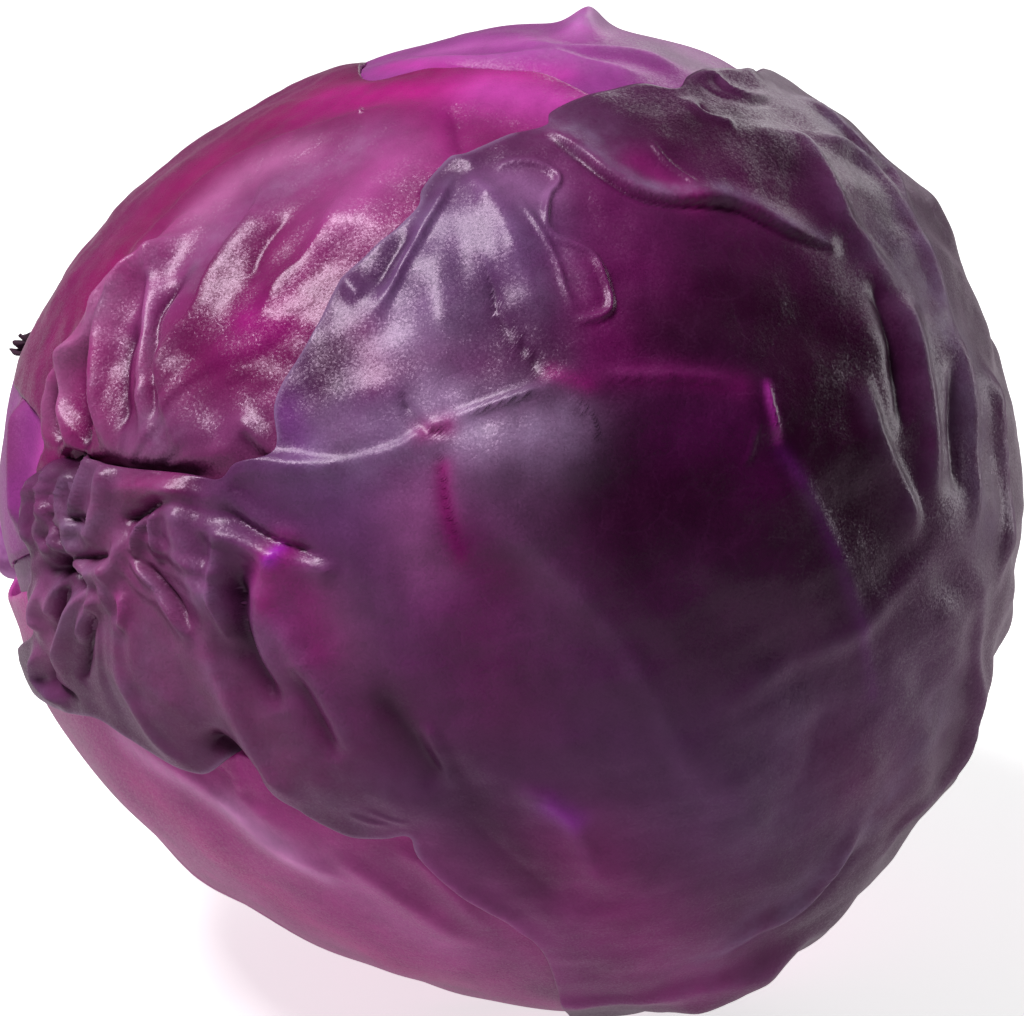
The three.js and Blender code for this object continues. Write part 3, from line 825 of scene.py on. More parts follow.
# %% The front leaf's pigment
paint(
    front,
    front_piece,
    front_at,
    PLUM,
    [
        # Broad fields: plum lobes, an ashy corner, and the nearly black middle.
        ("54305a", 0.85, 22, (-34, -30), (0, -44), (30, -46), (56, -34)),
        ("6c3058", 0.9, 17, (-66, -8), (-54, -24), (-38, -38)),
        ("5a2e5a", 0.8, 12, (-30, -6), (-22, -12), (-16, -20)),
        (ASH, 0.9, 12, (-28, 10), (-20, 26), (-10, 42), (4, 42)),
        ("2c0828", 0.85, 4, (-27, 25), (-29, 20)),
        ("3c0a34", 0.8, 3.0, (-30, 24), (-31, 15), (-27, 10)),
        ("8a6a90", 0.7, 5, (-17, 27), (-13, 22), (-12, 18)),
        ("7c5680", 0.6, 5, (-30, 12), (-24, 13)),
        ("5c1450", 0.5, 3, (-22, 20), (-14, 24), (-4, 22)),
        # A painted highlight on the bulge below the midrib.
        ("8a6a90", 0.8, 6, (-6, 12), (2, 11), (7, 11)),
        ("8a4a80", 0.75, 6, (-14, 0), (-13, -9)),
        ("6a4468", 0.5, 7, (2, 2), (3, -8), (2, -18)),
        ("6e4a66", 0.5, 6, (-29, -17), (-26, -22)),
        # A painted pink highlight in the knot.
        ("8a4c78", 0.7, 4, (-74, -16), (-74, -24)),
        (NIGHT, 0.95, 15, (24, 30), (36, 34), (48, 24), (42, 8), (26, 4), (34, -6)),
        (NIGHT, 0.9, 14, (50, 26), (54, 6), (56, -8)),
        (NIGHT, 0.7, 8, (18, -2), (26, -12), (36, -15), (46, -14)),
        ("4a2046", 0.6, 10, (30, -16), (46, -20), (54, -24)),
        (WINE, 0.7, 9, (20, 52), (28, 56), (36, 50)),
        ("380a30", 0.5, 6, (26, 52), (36, 54)),
        (WINE, 0.7, 8, (6, 58), (14, 48), (20, 40)),
        (NIGHT, 0.6, 6, (52, 60), (58, 50), (62, 40)),
        (NIGHT, 0.75, 9, (24, 60), (34, 61), (42, 56)),
        # Bruises and paler patches, from the strip down to the lower margin, then painted shade in a dent, a
        # groove and the knot's slits.
        ("8a5a8a", 0.6, 4, (0, 52), (4, 51)),
        (WINE, 0.6, 10, (-6, -20), (-2, -32)),
        ("8a2f74", 0.85, 12, (8, -58), (18, -68), (28, -76)),
        ("8c3c7a", 0.85, 6, (-15, -55), (-9, -61), (0, -67), (6, -73), (8, -78)),
        (WINE, 0.5, 8, (52, -40), (62, -46)),
        (WINE, 0.6, 9, (-30, -36), (-20, -34)),
        # Painted shade in the dent near the second lobe's end, in a shallow groove below it, and in the
        # knot's slits.
        (NIGHT, 0.5, 3.4, (-20, -32), (-16, -37), (-12, -42)),
        (NIGHT, 0.5, 5, (-6, -48), (0, -54), (5, -60)),
        (NIGHT, 0.6, 3, (-72, 8), (-69, -2), (-72, -10)),
        # Magenta and violet along creases, torn edges and veins.
        ("7c0a5e", 0.6, 5, (-37, -10), (-34, -14), (-31, -22)),
        (MAGENTA, 0.7, 2.0, (-36.5, -6.5), (-38.5, -10), (-39, -15)),
        (VIOLET, 0.8, 0.9, (-37, -6.4), (-37.8, -8.4)),
        (MAGENTA, 0.9, 1.7, (-14, 12.2), (-10.5, 13)),
        (MAGENTA, 0.7, 1.2, (6, 21.5), (9, 20.4), (12, 19.6)),
        (MAGENTA, 0.8, 1.3, (-11, 6.5), (-10.5, 0), (-8, -8)),
        (WINE, 0.7, 4, (-8, -6), (-2, -11)),
        ("6a0a54", 0.6, 2.2, (13, 21), (24, 21.5), (36, 19.5)),
        ("520a48", 0.5, 5, (26, 12), (36, 12), (40, 4)),
        ("a02090", 0.7, 0.7, (40.4, 19.5), (41, 16), (42.4, 10.8)),
        ("60106a", 0.4, 1.2, (43, 9), (46, 4.5), (50, -3), (54, -14.5), (58, -30)),
        ("6a0a54", 0.6, 5, (12, 38), (15, 26)),
        ("740a5c", 0.55, 3, (-24, 28), (-22, 22)),
        ("6a1478", 0.4, 3, (-36, 15), (-33, 10)),
        ("7c0a5e", 0.6, 2.5, (20, 55), (24, 52), (29, 49)),
        (VIOLET, 0.6, 1.8, (6, -47.6), (10, -50)),
        ("74105c", 0.5, 5, (12, -56), (18, -66)),
        (MAGENTA, 0.5, 1.2, (-62, -14.5), (-61, -18)),
        ("70104e", 0.7, 2.4, (-60, 3.4), (-53, 4)),
        # Painted highlight along the margins, and the painted shadow under the folded one.
        ("9c7aa0", 0.5, 0.6, *LOWER_LOBES),
        ("9c84a8", 0.4, 0.6, *SILVERY_CORNER),
        (NIGHT, 0.5, 0.4, (7, 58.4), (14.9, 52.5), (20.2, 49.6), (26.1, 48.1), (35, 47.8), (39.3, 46),
         (50, 41.6)),
    ],
    [
        # Bloom on the crown, partly a painted sheen, then the corner, the midrib, the lobes and the lower
        # right.
        (0.9, 8, (64, 38), (72, 20), (75, 0)),
        (0.6, 6, (50, 62), (58, 54), (65, 40)),
        (0.7, 5, (8, 61), (12, 59)),
        (0.45, 9, (-14, 46), (-10, 36), (-18, 26)),
        (0.3, 5, (4, 46), (4, 34)),
        # Along the midrib, ending in a painted highlight on the bulge.
        (0.7, 6, (-30, 9), (-14, 12), (-2, 13), (6, 12)),
        (0.4, 14, (-60, -24), (-40, -40), (-28, -46)),
        # A painted highlight along the lower right.
        (0.8, 6, (32, -72), (40, -66), (56, -52), (68, -34)),
        (0.5, 10, (46, -36), (44, -48)),
        (0.5, 8, (-68, 0), (-70, -14)),
        # A painted sheen along the lower edge of the folded margin.
        (0.9, 1.1, (6.6, 62), (12, 57.4), (16, 54.4), (21, 51.6), (27, 50), (36, 49.6), (45, 45),
         (50, 43.4)),
    ],
)

# %% The other leaves' pigment
paint(
    upper,
    upper_piece,
    upper_at,
    "6c124e",
    [
        # The smooth band above the pleats, and paler patches on it, two of them painted: a sheen and a
        # highlight.
        ("78084e", 0.95, 9, (-68, 34), (-58, 48), (-44, 60), (-28, 69), (-16, 71)),
        ("9a0a6c", 0.9, 5, (-30, 67), (-14, 68), (2, 70)),
        # A painted sheen along the top of the band.
        ("b03c98", 0.8, 6, (-4, 68), (8, 66), (14, 65)),
        ("7a3068", 0.7, 6, (-60, 30), (-50, 42), (-38, 52), (-22, 60)),
        # A painted highlight on the shoulder.
        ("b06a9c", 0.4, 4, (-50, 48), (-43, 54), (-34, 58)),
        # Bruises between the pleats and the corner of the front leaf.
        ("5e0a44", 0.85, 7, (-46, 36), (-42, 26), (-40, 16)),
        ("8a0868", 0.9, 4, (-42, 30), (-38, 28), (-46, 24)),
        (MAGENTA, 0.4, 1.6, (-37, 33), (-33, 39), (-29, 45)),
        (MAGENTA, 0.6, 3, (-10, 64), (-9, 56), (-11, 52)),
        # Dull pleats, with lines of painted shade in the creases between them.
        ("6a3458", 0.8, 7, (-64, 8), (-54, 8), (-44, 10)),
        ("7c3c66", 0.8, 5, (-74, 16), (-70, 24), (-64, 32)),
        ("6d0f4e", 0.8, 1.8, (-70.5, 13), (-70, 19), (-66.5, 26)),
        # Painted shade in the creases.
        ("3c0a30", 0.7, 0.8, (-69.6, 9), (-69.8, 15), (-69, 21), (-66.6, 27), (-63, 34)),
        ("3c0a30", 0.6, 0.7, (-74, 10), (-74, 17), (-71.5, 24)),
        ("4c0c3c", 0.6, 1.0, (-62.8, 10), (-62.8, 23), (-61, 30), (-58, 37)),
        ("4c0c3c", 0.6, 0.9, (-57.6, 10), (-58.4, 24), (-57, 32), (-52, 39)),
        ("6d0f4e", 0.8, 2.2, (-59, 13), (-59, 21), (-56, 29)),
        ("7a2a60", 0.7, 6, (-46, 14), (-40, 18)),
        ("a04488", 0.6, 7, (-26, 48), (-18, 56)),
        (WINE, 0.6, 4, (-34, 22), (-30, 14)),
        ("5c0a40", 0.75, 5.5, (-50, 24), (-43, 22), (-38, 24)),
        ("5c2450", 0.7, 5, (-60, 12), (-50, 12), (-42, 12)),
    ],
    [
        (0.5, 6, (-52, 40), (-40, 50), (-26, 58)),
        (0.5, 4, (-58, 26), (-56, 12)),
        (0.15, 8, (-28, 46), (-20, 56)),
    ],
)
paint(
    lower,
    lower_piece,
    lower_at,
    "a02c7e",
    [
        # The ridge, pale with a painted highlight along it, the side in view, then the underside with painted
        # contact shade.
        ("c878b4", 0.7, 3.4, (-64, -37), (-54, -44), (-45, -49), (-36, -56)),
        ("d098c8", 0.5, 2.0, (-46, -48), (-38, -54), (-30, -60)),
        ("b0609c", 0.6, 6, (-30, -58), (-20, -66), (-6, -73)),
        ("ac2a80", 0.8, 5, (-60, -46), (-46, -58), (-30, -69), (-12, -77)),
        ("7a3068", 0.8, 6, (-20, -58), (-9, -65), (1, -73), (6, -79)),
        # Painted contact shade along the bottom, where the head rests.
        ("5f1c4c", 0.7, 4, around(262, 90), around(270, 92), around(280, 90)),
        ("b45ca4", 0.7, 10, around(188, 100), around(200, 100), around(215, 108)),
        ("7a2f66", 0.7, 20, around(270, 130), around(320, 130)),
        ("6a2c5c", 0.8, 22, around(-8, 104), around(-16, 120), around(-36, 136)),
    ],
    # Bloom and a painted sheen on the ridge, then bloom on the underside.
    [(0.4, 4, (-50, -46), (-36, -56)), (0.4, 20, around(240, 120), around(300, 130))],
)
paint(
    top,
    top_piece,
    top_at,
    "82307a",
    [
        # Bands along the top, the stalk end, then the side behind.
        ("a04a94", 0.7, 3, (-14, 76), (0, 77), (14, 78)),
        ("a02c88", 0.8, 3, (-20, 73), (-6, 73), (8, 72)),
        ("5c3058", 0.8, 8, (24, 76), (32, 73), (38, 70)),
        ("b03a98", 0.8, 3, (-76, 20), (-77.5, 8), (-78, -4)),
        ("7c3468", 0.8, 3, (-80, 20), (-81, 8)),
        ("8a4a86", 0.6, 24, around(60, 120), around(120, 125), around(160, 130)),
        ("6e3468", 0.7, 20, around(42, 100), around(40, 118), around(48, 138)),
    ],
    [(0.5, 16, around(70, 120), around(120, 120))],
)
paint(
    back,
    back_piece,
    back_at,
    "553050",
    [
        (WINE, 0.6, 16, around(150, 125), around(120, 140)),
        (NIGHT, 0.6, 22, around(60, 150), around(-20, 150)),
        (ROSE, 0.5, 5, around(176, 124), around(170, 140), around(120, 160)),
        (MAGENTA, 0.3, 14, around(-120, 150)),
    ],
    [(0.8, 30, around(120, 150), around(20, 150))],
)
print("pigment laid on 5 leaves")

# %% [markdown]
# ## The heart, the stalk and the leaf stumps
#
# The heart is the tight ball that the wrappers close round. It shows only in the gap behind the crown, where
# its own outermost leaf has ribs and bloom. The stalk was cut across with a knife, so its face is flat, pale
# and fibrous, ringed by the bases of the leaves that were broken off.

# %% The heart
LEAF_LAYERS = 3
HEART_FOLDS = [
    *ribs(around(186, 112), around(10, 112), 0.9, 8, tall=0.8),
    (1.6, 2.0, 5.0, around(60, 105), around(20, 118), around(-30, 112)),
]
HEART_CRUMPLE = [(0.35, 22, 61, everywhere)]
# The heart is a whole ball, so the outline that a leaf must have isn't used.
heart_leaf = Leaf(LEAF_LAYERS, around(12, 118), BACK_OUTLINE, HEART_FOLDS, HEART_CRUMPLE)
heart_leaf.covers = [front, back, upper, lower, top]


def heart_piece():
    bm = bmesh.new()
    bmesh.ops.create_icosphere(bm, subdivisions=6, radius=1)
    mesh = make_mesh(bm, "heart_ball")
    directions = vert_points(mesh)
    directions /= np.linalg.norm(directions, axis=1, keepdims=True)
    move_verts(mesh, heart_leaf.points(directions, 0))
    return link("heart_ball", mesh), directions


heart, heart_at = heart_piece()
paint(
    heart_leaf,
    heart,
    heart_at,
    "744070",
    [("9a6894", 0.6, 20, around(10, 112)), (WINE, 0.4, 20, around(-20, 125))],
    [(0.8, 24, around(10, 112), around(10, 130))],
)
print("heart:", len(heart.data.polygons), "faces")

# %% The stalk's own axes
STALK_RADIUS = 14.0
CUT_FACE = 2.9  # height of the cut above the skin
stalk_out = around(183, 110)
stalk_fore = FORWARD - (FORWARD @ stalk_out) * stalk_out
stalk_fore /= np.linalg.norm(stalk_fore)
stalk_top = np.cross(stalk_fore, stalk_out)
stalk_foot = HEAD_MIDDLE + stalk_out * skin_radius(stalk_out[None])[0]


def on_stalk(across, height, bearing):
    """Points by distance from the stalk's axis, height above the skin, and bearing from the fair side."""
    away = np.cos(bearing)[:, None] * stalk_fore + np.sin(bearing)[:, None] * stalk_top
    return stalk_foot + away * across[:, None] + height[:, None] * stalk_out


def lathe_mesh(name, profile, turns):
    """A profile of (distance from the axis, height) spun round the stalk's axis."""
    bm = bmesh.new()
    verts = [bm.verts.new((r, 0, h)) for r, h in profile]
    edges = [bm.edges.new(pair) for pair in zip(verts, verts[1:])]
    bmesh.ops.spin(
        bm, geom=verts + edges, axis=(0, 0, 1), cent=(0, 0, 0), steps=turns, angle=2 * math.pi, use_merge=True
    )
    bmesh.ops.remove_doubles(bm, verts=bm.verts[:], dist=1e-4)
    bmesh.ops.recalc_face_normals(bm, faces=bm.faces[:])
    return make_mesh(bm, name)


# From the root end, up the ringed side, over the rounded rim and across the cut face.
STALK_PROFILE = [(0, -14), (11.5, -14), (12.2, -6)]
STALK_PROFILE += [(13.4 + 0.3 * math.sin(i * 0.9), -5 + i * 0.8) for i in range(9)]
STALK_PROFILE += [(13.3, 2.2), (12.9, 2.7), (12.2, 2.95)]
STALK_PROFILE += [(12 - i * 0.5, CUT_FACE) for i in range(1, 25)]
stalk_mesh = lathe_mesh("stalk_cut", STALK_PROFILE, 144)
flat = vert_points(stalk_mesh)
bearing, out = np.arctan2(flat[:, 1], flat[:, 0]), np.hypot(flat[:, 0], flat[:, 1])
flutes = 0.35 * np.cos(bearing * 7 + 1) + 0.2 * np.cos(bearing * 13)
saw_marks = 0.12 * np.sin(flat[:, 0] * 1.9 + 0.4 * np.sin(flat[:, 1] * 0.7))
hollow = -0.7 * smoothstep(out, 9, 2)
height = flat[:, 2] + np.where(flat[:, 2] > 2.5, saw_marks + hollow, 0)
move_verts(stalk_mesh, on_stalk(out + flutes * smoothstep(out, 4, 13), height, bearing))
stalk_mesh.flip_normals()  # the bearing runs clockwise seen from outside
stalk = link("stalk_cut", stalk_mesh)
print("stalk: %.0f mm across" % (2 * STALK_RADIUS))

# %% The leaf stumps
STUMP_WIDTH, STUMP_THICKNESS, STUMP_BOW = 13.0, 4.2, 3.0
STUMP_GAP = 0.3  # between the stalk and a stump
STUMP_BEARINGS, STUMP_LEANS = (4, 95, 175, 268), (-0.3, 0.3, -0.2, 0.4)
# Rings from the foot to the middle of the cut: height above the skin, and how much of the full section.
STUMP_RINGS = [(-4, 0.9), (-2, 0.96), (0, 1.0), (1.4, 1.0), (2.3, 0.97), (2.8, 0.9), (3.0, 0.8)]
STUMP_RINGS += [(2.85, 0.6), (2.6, 0.3)]


def stump_mesh(name):
    """A disc raised ring by ring. Its section is later bowed to a crescent round the stalk."""
    bm = bmesh.new()
    bmesh.ops.create_circle(bm, cap_ends=True, segments=48, radius=1)
    bmesh.ops.reverse_faces(bm, faces=bm.faces[:])
    foot = top = bm.faces[:]
    for _ in STUMP_RINGS[1:]:
        made = bmesh.ops.extrude_face_region(bm, geom=top)["geom"]
        bmesh.ops.translate(bm, verts=[g for g in made if isinstance(g, bmesh.types.BMVert)], vec=(0, 0, 1))
        if top is not foot:  # it is inside the stump now
            bmesh.ops.delete(bm, geom=top, context="FACES_ONLY")
        top = [g for g in made if isinstance(g, bmesh.types.BMFace)]
    bmesh.ops.recalc_face_normals(bm, faces=bm.faces[:])
    return make_mesh(bm, name)


def stump_piece(name, degrees, lean):
    mesh = stump_mesh(name)
    flat = vert_points(mesh)
    level = np.round(flat[:, 2]).astype(int)
    heights, sizes = np.array(STUMP_RINGS).T
    size = sizes[level]
    across, through = flat[:, 0] * size, flat[:, 1] * size
    away = STALK_RADIUS + STUMP_GAP + STUMP_THICKNESS * (0.5 + 0.5 * through) - STUMP_BOW * across**2
    away += 0.25 * np.sin(across * 6 + degrees) * through
    side = across * STUMP_WIDTH / 2
    lift = heights[level] + lean * through + 0.2 * np.sin(across * 5 + degrees)
    turn = math.radians(degrees) + np.arctan2(side, away)
    move_verts(mesh, on_stalk(np.hypot(away, side), lift, turn))
    return link(name, mesh)


stumps = [
    stump_piece(f"leaf_stump_cut_{i + 1}", bearing, lean)
    for i, (bearing, lean) in enumerate(zip(STUMP_BEARINGS, STUMP_LEANS))
]
print("stumps:", len(stumps))

# %% [markdown]
# ## A scrap of dried leaf
#
# A shrivelled scrap of an old leaf still sticks out behind the upper leaf. It is a small strip of grid, bent,
# frayed at its tip and given thickness with Solidify.

# %% The dried scrap
scrap_foot = around(161.5, 94)
scrap_up = UP - (UP @ scrap_foot) * scrap_foot
scrap_up /= np.linalg.norm(scrap_up)
scrap_side = np.cross(scrap_foot, scrap_up)
SCRAP_TUCKED, SCRAP_LENGTH, SCRAP_HALF_WIDTH, SCRAP_THICKNESS = 2.2, 2.0, 2.3, 0.5


def scrap_mesh():
    bm = bmesh.new()
    bmesh.ops.create_grid(bm, x_segments=18, y_segments=14, size=1)
    mesh = make_mesh(bm, "dried_scrap")
    u, v, _ = vert_points(mesh).T
    rise = 0.5 + 0.5 * v
    tall = 1.0 + 0.8 * np.cos(u * 7) - 0.4 * u
    out = skin_radius(scrap_foot[None])[0] - SCRAP_TUCKED + rise * (SCRAP_LENGTH + tall)
    along = u * SCRAP_HALF_WIDTH * (1 - 0.35 * rise) + 0.3 * np.sin(rise * 6)
    bend = 0.5 * np.sin(u * 4 + rise * 5) + 0.6 * rise**2
    points = HEAD_MIDDLE + out[:, None] * scrap_foot + along[:, None] * scrap_up + bend[:, None] * scrap_side
    move_verts(mesh, points)
    return mesh


scrap = link("dried_scrap", scrap_mesh())
thick = scrap.modifiers.new("thickness", "SOLIDIFY")
thick.thickness, thick.offset = SCRAP_THICKNESS * MM, 0
print("scrap made")

# %% [markdown]
# ## Finishes
#
# Every finish here is something that grew. A cabbage leaf is a thin, slightly see-through tissue under a waxy
# cuticle, and the wax gives broad soft highlights that break into glitter over the single cells of the skin.
# The pigment attribute, with painted highlight and shade in it, sets the colour, noise mottles it, and the
# bloom attribute dusts it with grey wax and some painted sheen.

# %% A node helper


def add(tree, kind, settings=None, **links):
    """Adds a node, sets its properties or its numbered or named inputs, and links other inputs to it."""
    made = tree.nodes.new(kind)
    for key, value in (settings or {}).items():
        if isinstance(key, str) and hasattr(made, key):
            setattr(made, key, value)
        else:
            made.inputs[key].default_value = value
    for key, source in links.items():
        tree.links.new(source, made.inputs[int(key[1:]) if key[1:].isdigit() else key.replace("_", " ")])
    return made


def new_material(name):
    material = bpy.data.materials.new(name)
    material.use_nodes = True
    tree = material.node_tree
    tree.nodes.clear()
    return material, tree


def rgba(code):
    return (*linear(code), 1)


def per_mm(millimetres):
    """Texture scale for a pattern that repeats about every so many millimetres."""
    return 1 / (millimetres * MM)


# %% Waxy leaf cuticle


def leaf_cuticle(name, wax_colour, wax_share, smooth, rough):
    """Cabbage leaf, grown: dyed tissue under a waxy cuticle. Gives a soft sheen with a glitter of cells."""
    material, tree = new_material(name)
    coords = add(tree, "ShaderNodeTexCoord").outputs["Object"]
    dye_and_shading = add(tree, "ShaderNodeAttribute", {"attribute_name": "pigment_and_shading"}).outputs["Color"]
    bloom_and_sheen = add(tree, "ShaderNodeAttribute", {"attribute_name": "bloom_and_sheen"}).outputs["Fac"]

    # Cells of the skin are drawn 0.24 mm across, about three times their real size, so that they show.
    cells = add(tree, "ShaderNodeTexVoronoi", {"Scale": per_mm(0.24)}, Vector=coords)
    grain = add(tree, "ShaderNodeTexNoise", {"Scale": per_mm(0.4), "Detail": 2.0}, Vector=coords)
    mottle = add(
        tree, "ShaderNodeTexNoise", {"Scale": per_mm(7), "Detail": 4.0, "Roughness": 0.6}, Vector=coords
    )
    dusting = add(
        tree, "ShaderNodeTexNoise", {"Scale": per_mm(5), "Detail": 5.0, "Roughness": 0.65}, Vector=coords
    )
    # Small veins run between the ribs in a net with meshes of about 6 mm.
    bent = add(
        tree,
        "ShaderNodeVectorMath",
        {"operation": "MULTIPLY_ADD", 1: (0.008,) * 3},
        _0=mottle.outputs["Color"],
        _2=coords,
    )
    net = add(
        tree,
        "ShaderNodeTexVoronoi",
        {"feature": "DISTANCE_TO_EDGE", "Scale": per_mm(6.5)},
        Vector=bent.outputs[0],
    )
    vein = add(
        tree,
        "ShaderNodeMapRange",
        {"From Max": 0.06, "To Min": 1.0, "To Max": 0.0},
        Value=net.outputs["Distance"],
    )

    light = add(
        tree,
        "ShaderNodeMapRange",
        {"From Min": 0.3, "From Max": 0.7, "To Min": 1.15, "To Max": 1.6},
        Value=mottle.outputs["Fac"],
    )
    dyed = add(tree, "ShaderNodeHueSaturation", {"Saturation": 1.0}, Value=light.outputs[0], Color=dye_and_shading)
    veined = add(tree, "ShaderNodeMapRange", {"To Max": 0.05}, Value=vein.outputs[0])
    dyed = add(
        tree,
        "ShaderNodeMix",
        {"data_type": "RGBA", 7: rgba("7a3a74")},
        _0=veined.outputs[0],
        _6=dyed.outputs[0],
    )
    spots = add(
        tree,
        "ShaderNodeMapRange",
        {"From Min": 0.35, "From Max": 0.7, "To Min": 0.15},
        Value=dusting.outputs["Fac"],
    )
    dust_and_sheen = add(tree, "ShaderNodeMath", {"operation": "MULTIPLY"}, _0=spots.outputs[0], _1=bloom_and_sheen)
    dust_and_sheen = add(tree, "ShaderNodeMath", {"operation": "MULTIPLY", 1: wax_share}, _0=dust_and_sheen.outputs[0])
    colour = add(
        tree,
        "ShaderNodeMix",
        {"data_type": "RGBA", 7: rgba(wax_colour)},
        _0=dust_and_sheen.outputs[0],
        _6=dyed.outputs[2],
    )

    gloss = add(
        tree,
        "ShaderNodeMapRange",
        {"From Min": 0.25, "From Max": 0.75, "To Min": smooth, "To Max": rough},
        Value=grain.outputs["Fac"],
    )
    gloss = add(
        tree,
        "ShaderNodeMath",
        {"operation": "MULTIPLY_ADD", 1: 0.3},
        _0=dust_and_sheen.outputs[0],
        _2=gloss.outputs[0],
    )

    # Each cell leans its own way, so that a highlight breaks up into glitter.
    lean = add(
        tree,
        "ShaderNodeVectorMath",
        {"operation": "SUBTRACT", 1: (0.5, 0.5, 0.5)},
        _0=cells.outputs["Color"],
    )
    outward = add(tree, "ShaderNodeNewGeometry").outputs["Normal"]
    facet = add(
        tree,
        "ShaderNodeVectorMath",
        {"operation": "MULTIPLY_ADD", 1: (0.2,) * 3},
        _0=lean.outputs[0],
        _2=outward,
    )
    facet = add(tree, "ShaderNodeVectorMath", {"operation": "NORMALIZE"}, _0=facet.outputs[0])
    wrinkle = add(
        tree,
        "ShaderNodeTexNoise",
        {"Scale": per_mm(2.4), "Detail": 3.0, "Roughness": 0.55},
        Vector=bent.outputs[0],
    )
    height = add(
        tree,
        "ShaderNodeMath",
        {"operation": "MULTIPLY_ADD", 1: 2.2},
        _0=wrinkle.outputs["Fac"],
        _2=grain.outputs["Fac"],
    )
    height = add(
        tree,
        "ShaderNodeMath",
        {"operation": "MULTIPLY_ADD", 1: -0.5},
        _0=vein.outputs[0],
        _2=height.outputs[0],
    )
    bump = add(
        tree,
        "ShaderNodeBump",
        {"Strength": 0.5, "Distance": 0.00006},
        Height=height.outputs[0],
        Normal=facet.outputs[0],
    )
    shader = add(
        tree,
        "ShaderNodeBsdfPrincipled",
        {"IOR": 1.42, "Coat Weight": 0.15, "Coat Roughness": 0.28, "Specular Tint": rgba("eccce9")},
        Base_Color=colour.outputs[2],
        Roughness=gloss.outputs[0],
        Normal=bump.outputs[0],
    )
    add(tree, "ShaderNodeOutputMaterial", Surface=shader.outputs[0])
    return material


wrapper_cuticle = leaf_cuticle("wrapper_leaf_cuticle", "9480a4", 0.5, 0.28, 0.40)
magenta_cuticle = leaf_cuticle("magenta_leaf_cuticle", "b79abf", 0.4, 0.26, 0.38)
inner_cuticle = leaf_cuticle("inner_leaf_cuticle", "b9a4c4", 0.6, 0.32, 0.50)

# %% Cut stalk and cut ribs


def cut_stalk():
    """Cabbage stalk cut across with a knife and dried: pale, matt and fibrous, with brown stains."""
    material, tree = new_material("cut_cabbage_stalk")
    coords = add(tree, "ShaderNodeTexCoord").outputs["Object"]
    fibre = add(tree, "ShaderNodeTexNoise", {"Scale": per_mm(1.2), "Detail": 5.0}, Vector=coords)
    stain = add(tree, "ShaderNodeTexNoise", {"Scale": per_mm(9), "Detail": 4.0}, Vector=coords)
    ramp = add(tree, "ShaderNodeValToRGB", _0=stain.outputs["Fac"])
    for stop, (at, colour) in zip(ramp.color_ramp.elements, ((0.3, "8d6f55"), (0.62, "d8c7a6"))):
        stop.position, stop.color = at, rgba(colour)
    colour = add(
        tree,
        "ShaderNodeMix",
        {"data_type": "RGBA", "blend_type": "MULTIPLY", 0: 0.5},
        _6=ramp.outputs[0],
        _7=fibre.outputs["Color"],
    )
    bump = add(tree, "ShaderNodeBump", {"Strength": 0.8, "Distance": 0.0003}, Height=fibre.outputs["Fac"])
    shader = add(
        tree,
        "ShaderNodeBsdfPrincipled",
        {"Roughness": 0.75, "IOR": 1.45},
        Base_Color=colour.outputs[2],
        Normal=bump.outputs[0],
    )
    add(tree, "ShaderNodeOutputMaterial", Surface=shader.outputs[0])
    return material


def rib_flesh(name, low, high, rough):
    """Leaf rib, broken or cut: juicy and smooth, rose to violet."""
    material, tree = new_material(name)
    coords = add(tree, "ShaderNodeTexCoord").outputs["Object"]
    cloud = add(tree, "ShaderNodeTexNoise", {"Scale": per_mm(4), "Detail": 4.0}, Vector=coords)
    fibre = add(tree, "ShaderNodeTexNoise", {"Scale": per_mm(0.7), "Detail": 3.0}, Vector=coords)
    ramp = add(tree, "ShaderNodeValToRGB", _0=cloud.outputs["Fac"])
    for stop, (at, colour) in zip(ramp.color_ramp.elements, ((0.35, low), (0.65, high))):
        stop.position, stop.color = at, rgba(colour)
    bump = add(tree, "ShaderNodeBump", {"Strength": 0.5, "Distance": 0.0001}, Height=fibre.outputs["Fac"])
    shader = add(
        tree,
        "ShaderNodeBsdfPrincipled",
        {"Roughness": rough, "IOR": 1.42},
        Base_Color=ramp.outputs[0],
        Normal=bump.outputs[0],
    )
    add(tree, "ShaderNodeOutputMaterial", Surface=shader.outputs[0])
    return material


stalk_finish = cut_stalk()
rib_finish = rib_flesh("cut_leaf_rib", "a04f9c", "cf8fd0", 0.42)
scrap_finish = rib_flesh("dried_leaf_scrap", "1d0a18", "45213a", 0.8)
print("finishes:", len(bpy.data.materials))

# %% [markdown]
# ## Putting the pieces on the frame
#
# Every new piece stands for the CAD node of the same part, rides on the one body, and gets its finish. The
# dried scrap has no node of its own.

# %% Riding on the frame
OUTFIT = [
    (front_piece, "front_leaf", "wrapper_leaf", wrapper_cuticle),
    (back_piece, "back_leaf", "wrapper_leaf", wrapper_cuticle),
    (upper_piece, "upper_leaf", "magenta_leaf", magenta_cuticle),
    (lower_piece, "lower_leaf", "magenta_leaf", magenta_cuticle),
    (top_piece, "top_leaf", "inner_leaf", inner_cuticle),
    (heart, "heart", "inner_leaf", inner_cuticle),
    (stalk, "stalk", "cut_stalk", stalk_finish),
    *((stump, f"leaf_stump_{i + 1}", "leaf_rib", rib_finish) for i, stump in enumerate(stumps)),
    (scrap, None, "wrapper_leaf", scrap_finish),
]
for piece, cad_node, slot, finish in OUTFIT:
    piece.data.materials.append(finish)
    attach(piece, "root")
    if cad_node:
        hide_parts(cad_node)
print("pieces:", len(OUTFIT))

# %% [markdown]
# ## Floor, light and camera
#
# The head lies in a white light tent: a pale floor, bright white above and behind, and a darker side where
# the camera stands, which is what the dark middle of the glossy front leaf mirrors. A long lens looks along
# the head's fairest direction.

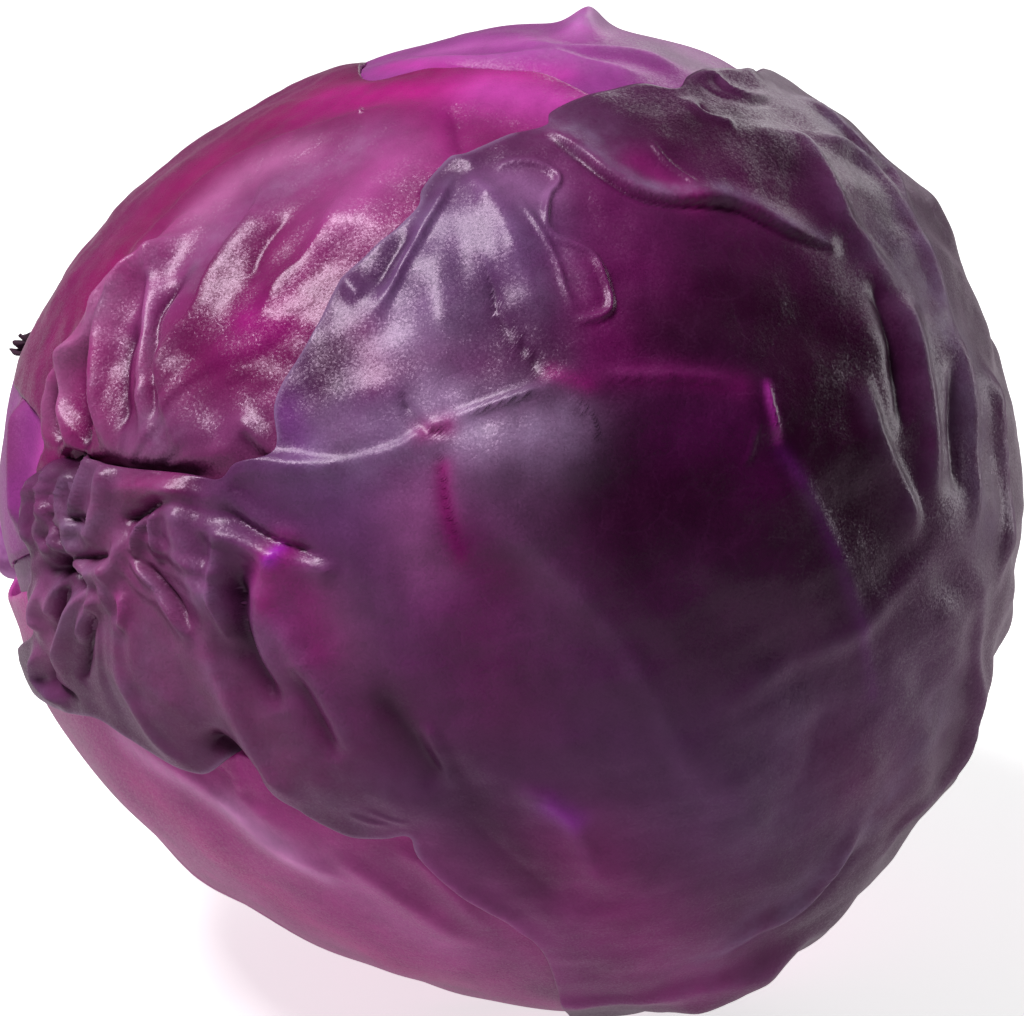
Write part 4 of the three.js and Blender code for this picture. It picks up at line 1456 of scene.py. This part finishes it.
# %% Floor
bm = bmesh.new()
bmesh.ops.create_grid(bm, x_segments=1, y_segments=1, size=4)
floor = link("floor", make_mesh(bm, "floor"))
floor_paint, tree = new_material("lit_white_acrylic")
acrylic = add(
    tree,
    "ShaderNodeBsdfPrincipled",
    {
        "Base Color": rgba("fafafa"),
        "Roughness": 0.9,
        "Emission Color": (1, 1, 1, 1),
        "Emission Strength": 0.7,
    },
)
# The head itself sees the sheet as much darker than the lens does, as if it lay on a grey card.
card = add(
    tree,
    "ShaderNodeBsdfPrincipled",
    {"Base Color": rgba("867981"), "Emission Color": (1, 0.93, 0.98, 1), "Emission Strength": 0.36},
)
seen = add(tree, "ShaderNodeLightPath").outputs["Is Camera Ray"]
sheet = add(tree, "ShaderNodeMixShader", _0=seen, _1=card.outputs[0], _2=acrylic.outputs[0])
add(tree, "ShaderNodeOutputMaterial", Surface=sheet.outputs[0])
floor.data.materials.append(floor_paint)

# %% Light


def softbox(name, at, size, power, aim=(0, 0, 0.08)):
    lamp = bpy.data.lights.new(name, "AREA")
    lamp.shape, lamp.size, lamp.size_y, lamp.energy = "RECTANGLE", size[0], size[1], power
    holder = bpy.data.objects.new(name, lamp)
    bpy.context.scene.collection.objects.link(holder)
    holder.location = at
    holder.rotation_euler = (Vector(aim) - Vector(at)).to_track_quat("-Z", "Y").to_euler()


softbox("overhead_box", (-0.42, -0.18, 0.95), (0.34, 0.3), 9.5)
softbox("back_box", (0.45, 0.95, 0.5), (0.8, 0.4), 2.0)
softbox("right_box", (0.95, 0.45, 0.1), (0.3, 0.8), 3.0)

world = bpy.data.worlds.new("light_tent")
bpy.context.scene.world = world
world.use_nodes = True
tree = world.node_tree
tree.nodes.clear()
heading = add(tree, "ShaderNodeTexCoord").outputs["Generated"]
bright_side = add(
    tree, "ShaderNodeVectorMath", {"operation": "DOT_PRODUCT", 1: (-0.45, 0.55, 0.7)}, _0=heading
)
shade = add(
    tree,
    "ShaderNodeMapRange",
    {"interpolation_type": "SMOOTHSTEP", "From Min": -0.1, "From Max": 0.8, "To Min": 0.02, "To Max": 0.16},
    Value=bright_side.outputs["Value"],
)
tent = add(tree, "ShaderNodeBackground", {"Color": (1, 1, 1, 1)}, Strength=shade.outputs[0])
backdrop = add(tree, "ShaderNodeBackground", {"Strength": 1.0, "Color": (1, 1, 1, 1)})
seen = add(tree, "ShaderNodeLightPath").outputs["Is Camera Ray"]
mixed = add(tree, "ShaderNodeMixShader", _0=seen, _1=tent.outputs[0], _2=backdrop.outputs[0])
add(tree, "ShaderNodeOutputWorld", Surface=mixed.outputs[0])
bpy.context.scene.view_settings.view_transform = "Standard"

# %% Camera
lens = bpy.data.cameras.new("camera")
lens.lens, lens.sensor_width = 135, 36
camera = bpy.data.objects.new("camera", lens)
bpy.context.scene.collection.objects.link(camera)
eye = HEAD_MIDDLE + FORWARD * EYE_DISTANCE
camera.location = eye * MM
camera.rotation_euler = (math.radians(90) - RISE, 0, 0)
bpy.context.scene.camera = camera
print("camera %.0f mm from the head's middle" % EYE_DISTANCE)
